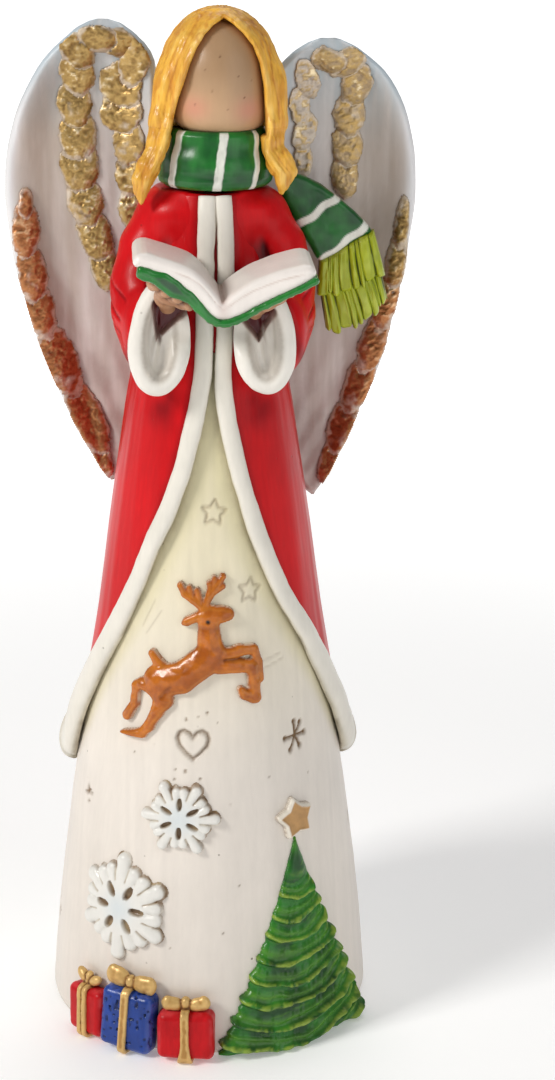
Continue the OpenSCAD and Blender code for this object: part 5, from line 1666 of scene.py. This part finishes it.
def tree_colour(V, lip, needle, fine, k):
    """Dark green, lime on the garlands; k runs up each tier from 0 to 1."""
    below_tip = ease((42 - V[:, 2]) / 2)
    light = ease((lip - 0.34) / 0.4) * ease(0.62 + 0.35 * needle + 0.7 * fbm(V, 4, 3, 155, (1, 1, 0.35)))
    soft_light = 0.5 * ease((fine - 0.1) / 0.3) * ease(0.3 + fbm(V, 4, 3, 157, (1, 1, 0.3)))
    middle = 0.5 * ease((k - 0.2) / 0.3) * ease((0.75 - k) / 0.2)
    c = mix([0.006, 0.060, 0.007], [0.020, 0.175, 0.014], ease(0.5 + 0.8 * fbm(V, 5, 3, 159)))
    c = mix(c, [0.095, 0.27, 0.018], np.clip(soft_light + middle, 0, 1))
    c = mix(c, [0.29, 0.41, 0.05], 0.85 * np.clip(light, 0, 1) * below_tip)
    # painted shade in the groove where each tier tucks under the one above
    tier_gap_shade = 0.6 * ease((0.06 - k) / 0.06) + 0.5 * ease((k - 0.93) / 0.07)
    return mix(c, [0.005, 0.045, 0.007], tier_gap_shade * below_tip)


# ---- gifts -------------------------------------------------------------------

def gift_frame(a, h, proud):
    """Point and directions of a gift box: middle of its face on the gown's slope."""
    tilt = 5.0 * RAD
    out = np.array([math.sin(a * RAD), -math.cos(a * RAD), 0])
    right = np.array([math.cos(a * RAD), math.sin(a * RAD), 0])
    n = out * math.cos(tilt) + np.array([0, 0, math.sin(tilt)])
    up = np.cross(right, -n)
    up = up if up[2] > 0 else -up
    base = out * (float(r_gown(h / 2)) - 1.2 + (proud + 1.2) / 2) + np.array([0, 0, h / 2 + 0.5])
    return base, right, up, n


RIBBON_STEP = 0.26


def build_gift(side, a, w, h, proud, paint_name, lean, bow, double=False, flare=0.0):
    """Box tilted with the gown's slope, a strap round it and a bow on top."""
    base, right, up, n = gift_frame(a, h, proud)
    M = np.stack([right, up, n], 1)
    half = np.array([w / 2 + 0.12, h / 2 - 0.35, (proud + 1.2) / 2])
    reach = float(np.linalg.norm(half)) + 1
    pits = 0.5 if paint_name == "blue" else 0.0
    colour = np.array({"blue": (0.010, 0.045, 0.26), "red": (0.52, 0.008, 0.012)}[paint_name])

    def local(p):
        q = (p - base) @ M
        return np.stack([*turned(q[:, 0], q[:, 1], lean * RAD), q[:, 2]], 1)

    def box(p):
        q = local(p)
        # pillow-like: the sides belly out a little
        x, y = np.clip(np.abs(q[:, :2]) / half[:2], 0, 1).T
        d = rbox(q, half, 1.7)
        d = d + pits * ease((vnoise(p / 0.85, 167) - 0.5) / 0.15) * (q[:, 2] > 0)
        return d - 0.30 * (1 - x ** 2) * (1 - y ** 2) + 0.12 * fbm(p, 4, 2, 161)

    def strap(p):
        x, y, z = local(p).T
        wide = 0.98 + flare * ease((-y - half[1] * 0.3) / half[1])
        if double:
            x = np.abs(x) - 0.75
            wide = 0.62
        # a shell round the box, open at the back and cut to the width of the strap
        shell = np.abs(rbox(np.stack([0 * x, y, z], 1), half + np.array([0, 0.35, 0.45]), 1.3)) - 0.5
        shell = np.maximum(shell, -(z + half[2] - 0.6))
        d = smax(np.abs(x) - wide, shell, 0.45)
        tie = local(p) - np.array([0, half[1] + bow["up"], bow["out"]])
        b = ellipsoid(tie, (0, 0, 0), bow["knot"])
        for cx, cy, rx, ry, rz, turn in bow["loops"]:
            u, v = turned(tie[:, 0] - cx, tie[:, 1] - cy, turn * RAD)
            b = smin(b, ellipsoid(np.stack([u, v, tie[:, 2]], 1), (0, 0, 0), (rx, ry, rz)), 0.2)
        return smin(d, b, 0.3) + 0.05 * fbm(p, 2, 2, 171)

    V, Q = surface(box, base - reach, base + reach, 0.3)
    hol = hollow(V, Q)
    rim = ease((np.abs(local(V)[:, :2]) / half[:2]).max(1) * 7 - 5.7)
    c = tinted(colour, V, 3, 0.14, 163, 3, (0.5, 0.5, 1.6))
    # painted shade in the hollows
    c = mix(c, colour * 0.35, 0.8 * ease(hol / 0.05))
    c = mix(c, np.minimum(colour * 1.8 + 0.10, 0.9), 0.35 * rim * ease(0.5 + fbm(V, 2, 2, 165)))
    piece("parcel_" + side, V, Q, None, c, 0.3 * ease(hol / 0.06), paint_name, "gift_" + side)

    V, Q = surface(strap, base - reach - 2, base + reach + 4.5, RIBBON_STEP)
    hol = hollow(V, Q)
    # painted highlight on the ridges of the ribbon and painted shade in its hollows
    c = tinted(mix([0.42, 0.215, 0.055], [0.66, 0.42, 0.15], ease(-hol / 0.03)), V, 2.5, 0.08, 173)
    c = mix(c, [0.17, 0.065, 0.015], 0.8 * ease(hol / 0.05))
    piece("bow_" + side, V, Q, None, c, 0.5 * ease(hol / 0.06), "bow", "gift_ribbon_" + side, {"metal": 0.4})


def build_gifts():
    # each loop of a bow: middle, three half axes and its turn in degrees
    big = {"up": 1.9, "out": 0.4, "knot": (1.3, 1.6, 1.4),
           "loops": [(-3.2, 0.5, 3.1, 2.3, 1.3, -12), (-4.6, 0.7, 1.7, 2.3, 1.2, 0),
                     (3.2, 0.1, 3.2, 2.1, 1.3, 6), (4.7, 0.1, 1.7, 2.2, 1.2, 0)]}
    leaf = {"up": 1.3, "out": 0.4, "knot": (0.95, 1.0, 1.0),
            "loops": [(-1.9, 1.0, 2.1, 1.25, 1.1, -42), (2.1, 0.5, 2.0, 1.15, 1.1, 24),
                      (0.2, 1.1, 0.9, 1.3, 1.0, 0)]}
    lobed = {"up": 1.3, "out": 0.4, "knot": (1.1, 1.15, 1.1),
             "loops": [(-2.9, 0.4, 2.7, 1.6, 1.2, -8), (-4.1, 0.5, 1.4, 1.7, 1.1, 0),
                       (2.9, 0.4, 2.7, 1.6, 1.2, 10), (4.1, 0.8, 1.4, 1.7, 1.1, 0),
                       (0, 0.7, 1.2, 1.5, 1.3, 0)]}
    build_gift("middle", -30.6, 12.6, 15.0, 4.2, "blue", -2, big)
    build_gift("left", -48.2, 10.8, 11.8, 3.4, "red", 4, leaf, double=True)
    build_gift("right", -10.2, 12.6, 11.8, 4.2, "red", 1, lobed, flare=0.9)


def build_reliefs():
    on_gown("deer_leaping", "reindeer", "deer", (-9.6, 91.9), (18.5, 19), 0.22, deer_shape, deer_colour)
    on_gown("flake_big", "snowflake_large", "snow", (-37.7, 33.2), (15, 15), 0.2,
            flake_shape(12.4, 30, (2.7, 6.4, 0.85), 8.3, 1.45), flake_colour)
    on_gown("flake_little", "snowflake_small", "snow", (-14.5, 56.2), (11, 11), 0.17,
            flake_shape(8.9, 0, (1.9, 4.8, 0.55), 5.6, 1.0), flake_colour)
    on_gown("star_on_tree", "tree_star", "bow", (34.6, 53.8), (6.5, 6.5), 0.2, star_shape, star_colour,
            {"metal": 0.08})
    build_tree()
    build_gifts()


# ---- stage, light and camera -------------------------------------------------

FLOOR_HALF = 4.0


def floor_paint(name, near, far):
    """Pale matt floor with a painted glow: its emission brightens it from near to plain white away from the
    figure.
    """
    m = bpy.data.materials.new(name)
    m.use_nodes = True
    t = m.node_tree
    place = add_node(t, "NewGeometry").outputs["Position"]
    reach = add_node(t, "VectorMath", operation="LENGTH", Vector=place).outputs["Value"]
    glow = add_node(t, "MapRange", interpolation_type="SMOOTHSTEP", Value=reach, From_Min=0.16,
                    From_Max=0.75, To_Min=near, To_Max=far).outputs["Result"]
    for key, value in (("Base Color", (0.92, 0.92, 0.915, 1)), ("Roughness", 0.75),
                       ("Specular IOR Level", 0.1), ("Emission Color", (1, 1, 1, 1)),
                       ("Emission Strength", glow)):
        put(t, t.nodes["Principled BSDF"].inputs[key], value)
    return m


def build_stage():
    corners = [(x * FLOOR_HALF, y * FLOOR_HALF, 0) for x, y in ((-1, -1), (1, -1), (1, 1), (-1, 1))]
    me = bpy.data.meshes.new("floor")
    me.from_pydata(corners, [], [(0, 1, 2, 3)])
    me.materials.append(floor_paint("floor_white", 0.19, 1.0))
    ob = bpy.data.objects.new("floor", me)
    ob.location = (0, 0, node_box("felt_pad")[0][2] * MM)
    bpy.context.scene.collection.objects.link(ob)


def lamp(name, at, target, size, power, colour):
    """Square area light that looks at target."""
    li = bpy.data.lights.new(name, "AREA")
    li.shape = "SQUARE"
    li.size = size
    li.energy = power
    li.color = colour
    ob = bpy.data.objects.new(name, li)
    ob.location = at
    ob.rotation_euler = (Vector(target) - Vector(at)).to_track_quat("-Z", "Y").to_euler()
    bpy.context.scene.collection.objects.link(ob)


def build_light():
    mid = (0, 0, 0.12)
    lamp("key", (-0.78, -0.40, 0.72), mid, 0.26, 6.9, (1.0, 0.985, 0.96))
    lamp("fill", (0.62, -0.86, 0.50), mid, 0.8, 2.6, (0.97, 0.985, 1.0))
    lamp("top", (0.15, 0.45, 0.95), mid, 0.6, 2.6, (1.0, 1.0, 1.0))
    # soft grey for the lighting, white where the camera looks past the floor
    w = bpy.data.worlds.new("studio")
    w.use_nodes = True
    t = w.node_tree
    soft_grey = t.nodes["Background"]
    soft_grey.inputs["Color"].default_value = (1, 1, 1, 1)
    soft_grey.inputs["Strength"].default_value = 0.27
    white = add_node(t, "Background", Color=(1, 1, 1, 1), Strength=1.0)
    blend = add_node(t, "MixShader")
    seen = add_node(t, "LightPath").outputs["Is Camera Ray"]
    for socket, value in zip(blend.inputs, (seen, soft_grey.outputs[0], white.outputs[0])):
        put(t, socket, value)
    put(t, t.nodes["World Output"].inputs["Surface"], blend.outputs[0])
    bpy.context.scene.world = w


def build_look():
    view = bpy.context.scene.view_settings
    view.view_transform = "Standard"
    view.look = "None"


def build_camera():
    """Camera slightly left of the middle, looking down 18.5 degrees, turned a little to the right."""
    az, down, yaw = 2.5 * RAD, 18.5 * RAD, 1.635 * RAD
    at = Vector((-22.5, -514.5, 285.0)) * MM
    fwd = Vector((math.sin(az) * math.cos(down), math.cos(az) * math.cos(down), -math.sin(down)))
    right = Vector((math.cos(az), -math.sin(az), 0))
    up = right.cross(fwd)
    fwd, right = fwd * math.cos(yaw) + right * math.sin(yaw), right * math.cos(yaw) - fwd * math.sin(yaw)
    # the view is a touch above the middle of the frame
    tilt = 0.19 * RAD
    fwd, up = fwd * math.cos(tilt) - up * math.sin(tilt), up * math.cos(tilt) + fwd * math.sin(tilt)
    cam = bpy.data.cameras.new("camera")
    cam.sensor_fit = "VERTICAL"
    cam.sensor_height = 36
    cam.lens = 80
    ob = bpy.data.objects.new("camera", cam)
    m = ob.matrix_world.copy()
    for i in range(3):
        m[i][0], m[i][1], m[i][2], m[i][3] = right[i], up[i], -fwd[i], at[i]
    ob.matrix_world = m
    bpy.context.scene.collection.objects.link(ob)
    bpy.context.scene.camera = ob


build_gown()
build_felt()
build_coat()
build_trim("trim_roll_left", "trim_left", TRIM_L, -1, 61)
build_trim("trim_roll_right", "trim_right", TRIM_R, 1, 71)
build_trim("hem_roll_back", "hem_trim", HEM, 1, 75, 12.0, 12.0, 4.2, 4.2, 1)
build_sleeve("arm_left", "sleeve_left", -1, 0, 9)
build_sleeve("arm_right", "sleeve_right", 1, ARM_SHIFT, 15)
build_cuff("cuff_bell_left", "cuff_left", -1, 0, 3, [(-11.9, 162.6), (-13.2, 173.4), (-4.4, 169.2)])
build_cuff("cuff_bell_right", "cuff_right", 1, -0.6, 8, [(9.6, 162.2), (4.6, 168.4), (13.6, 169.4)])
build_hands()
build_pages()
build_board()
build_head()
build_hair_cap()
build_falls()
build_back_fall()
build_scarf()
build_wings()
build_reliefs()
build_stage()
build_light()
build_look()
build_camera()
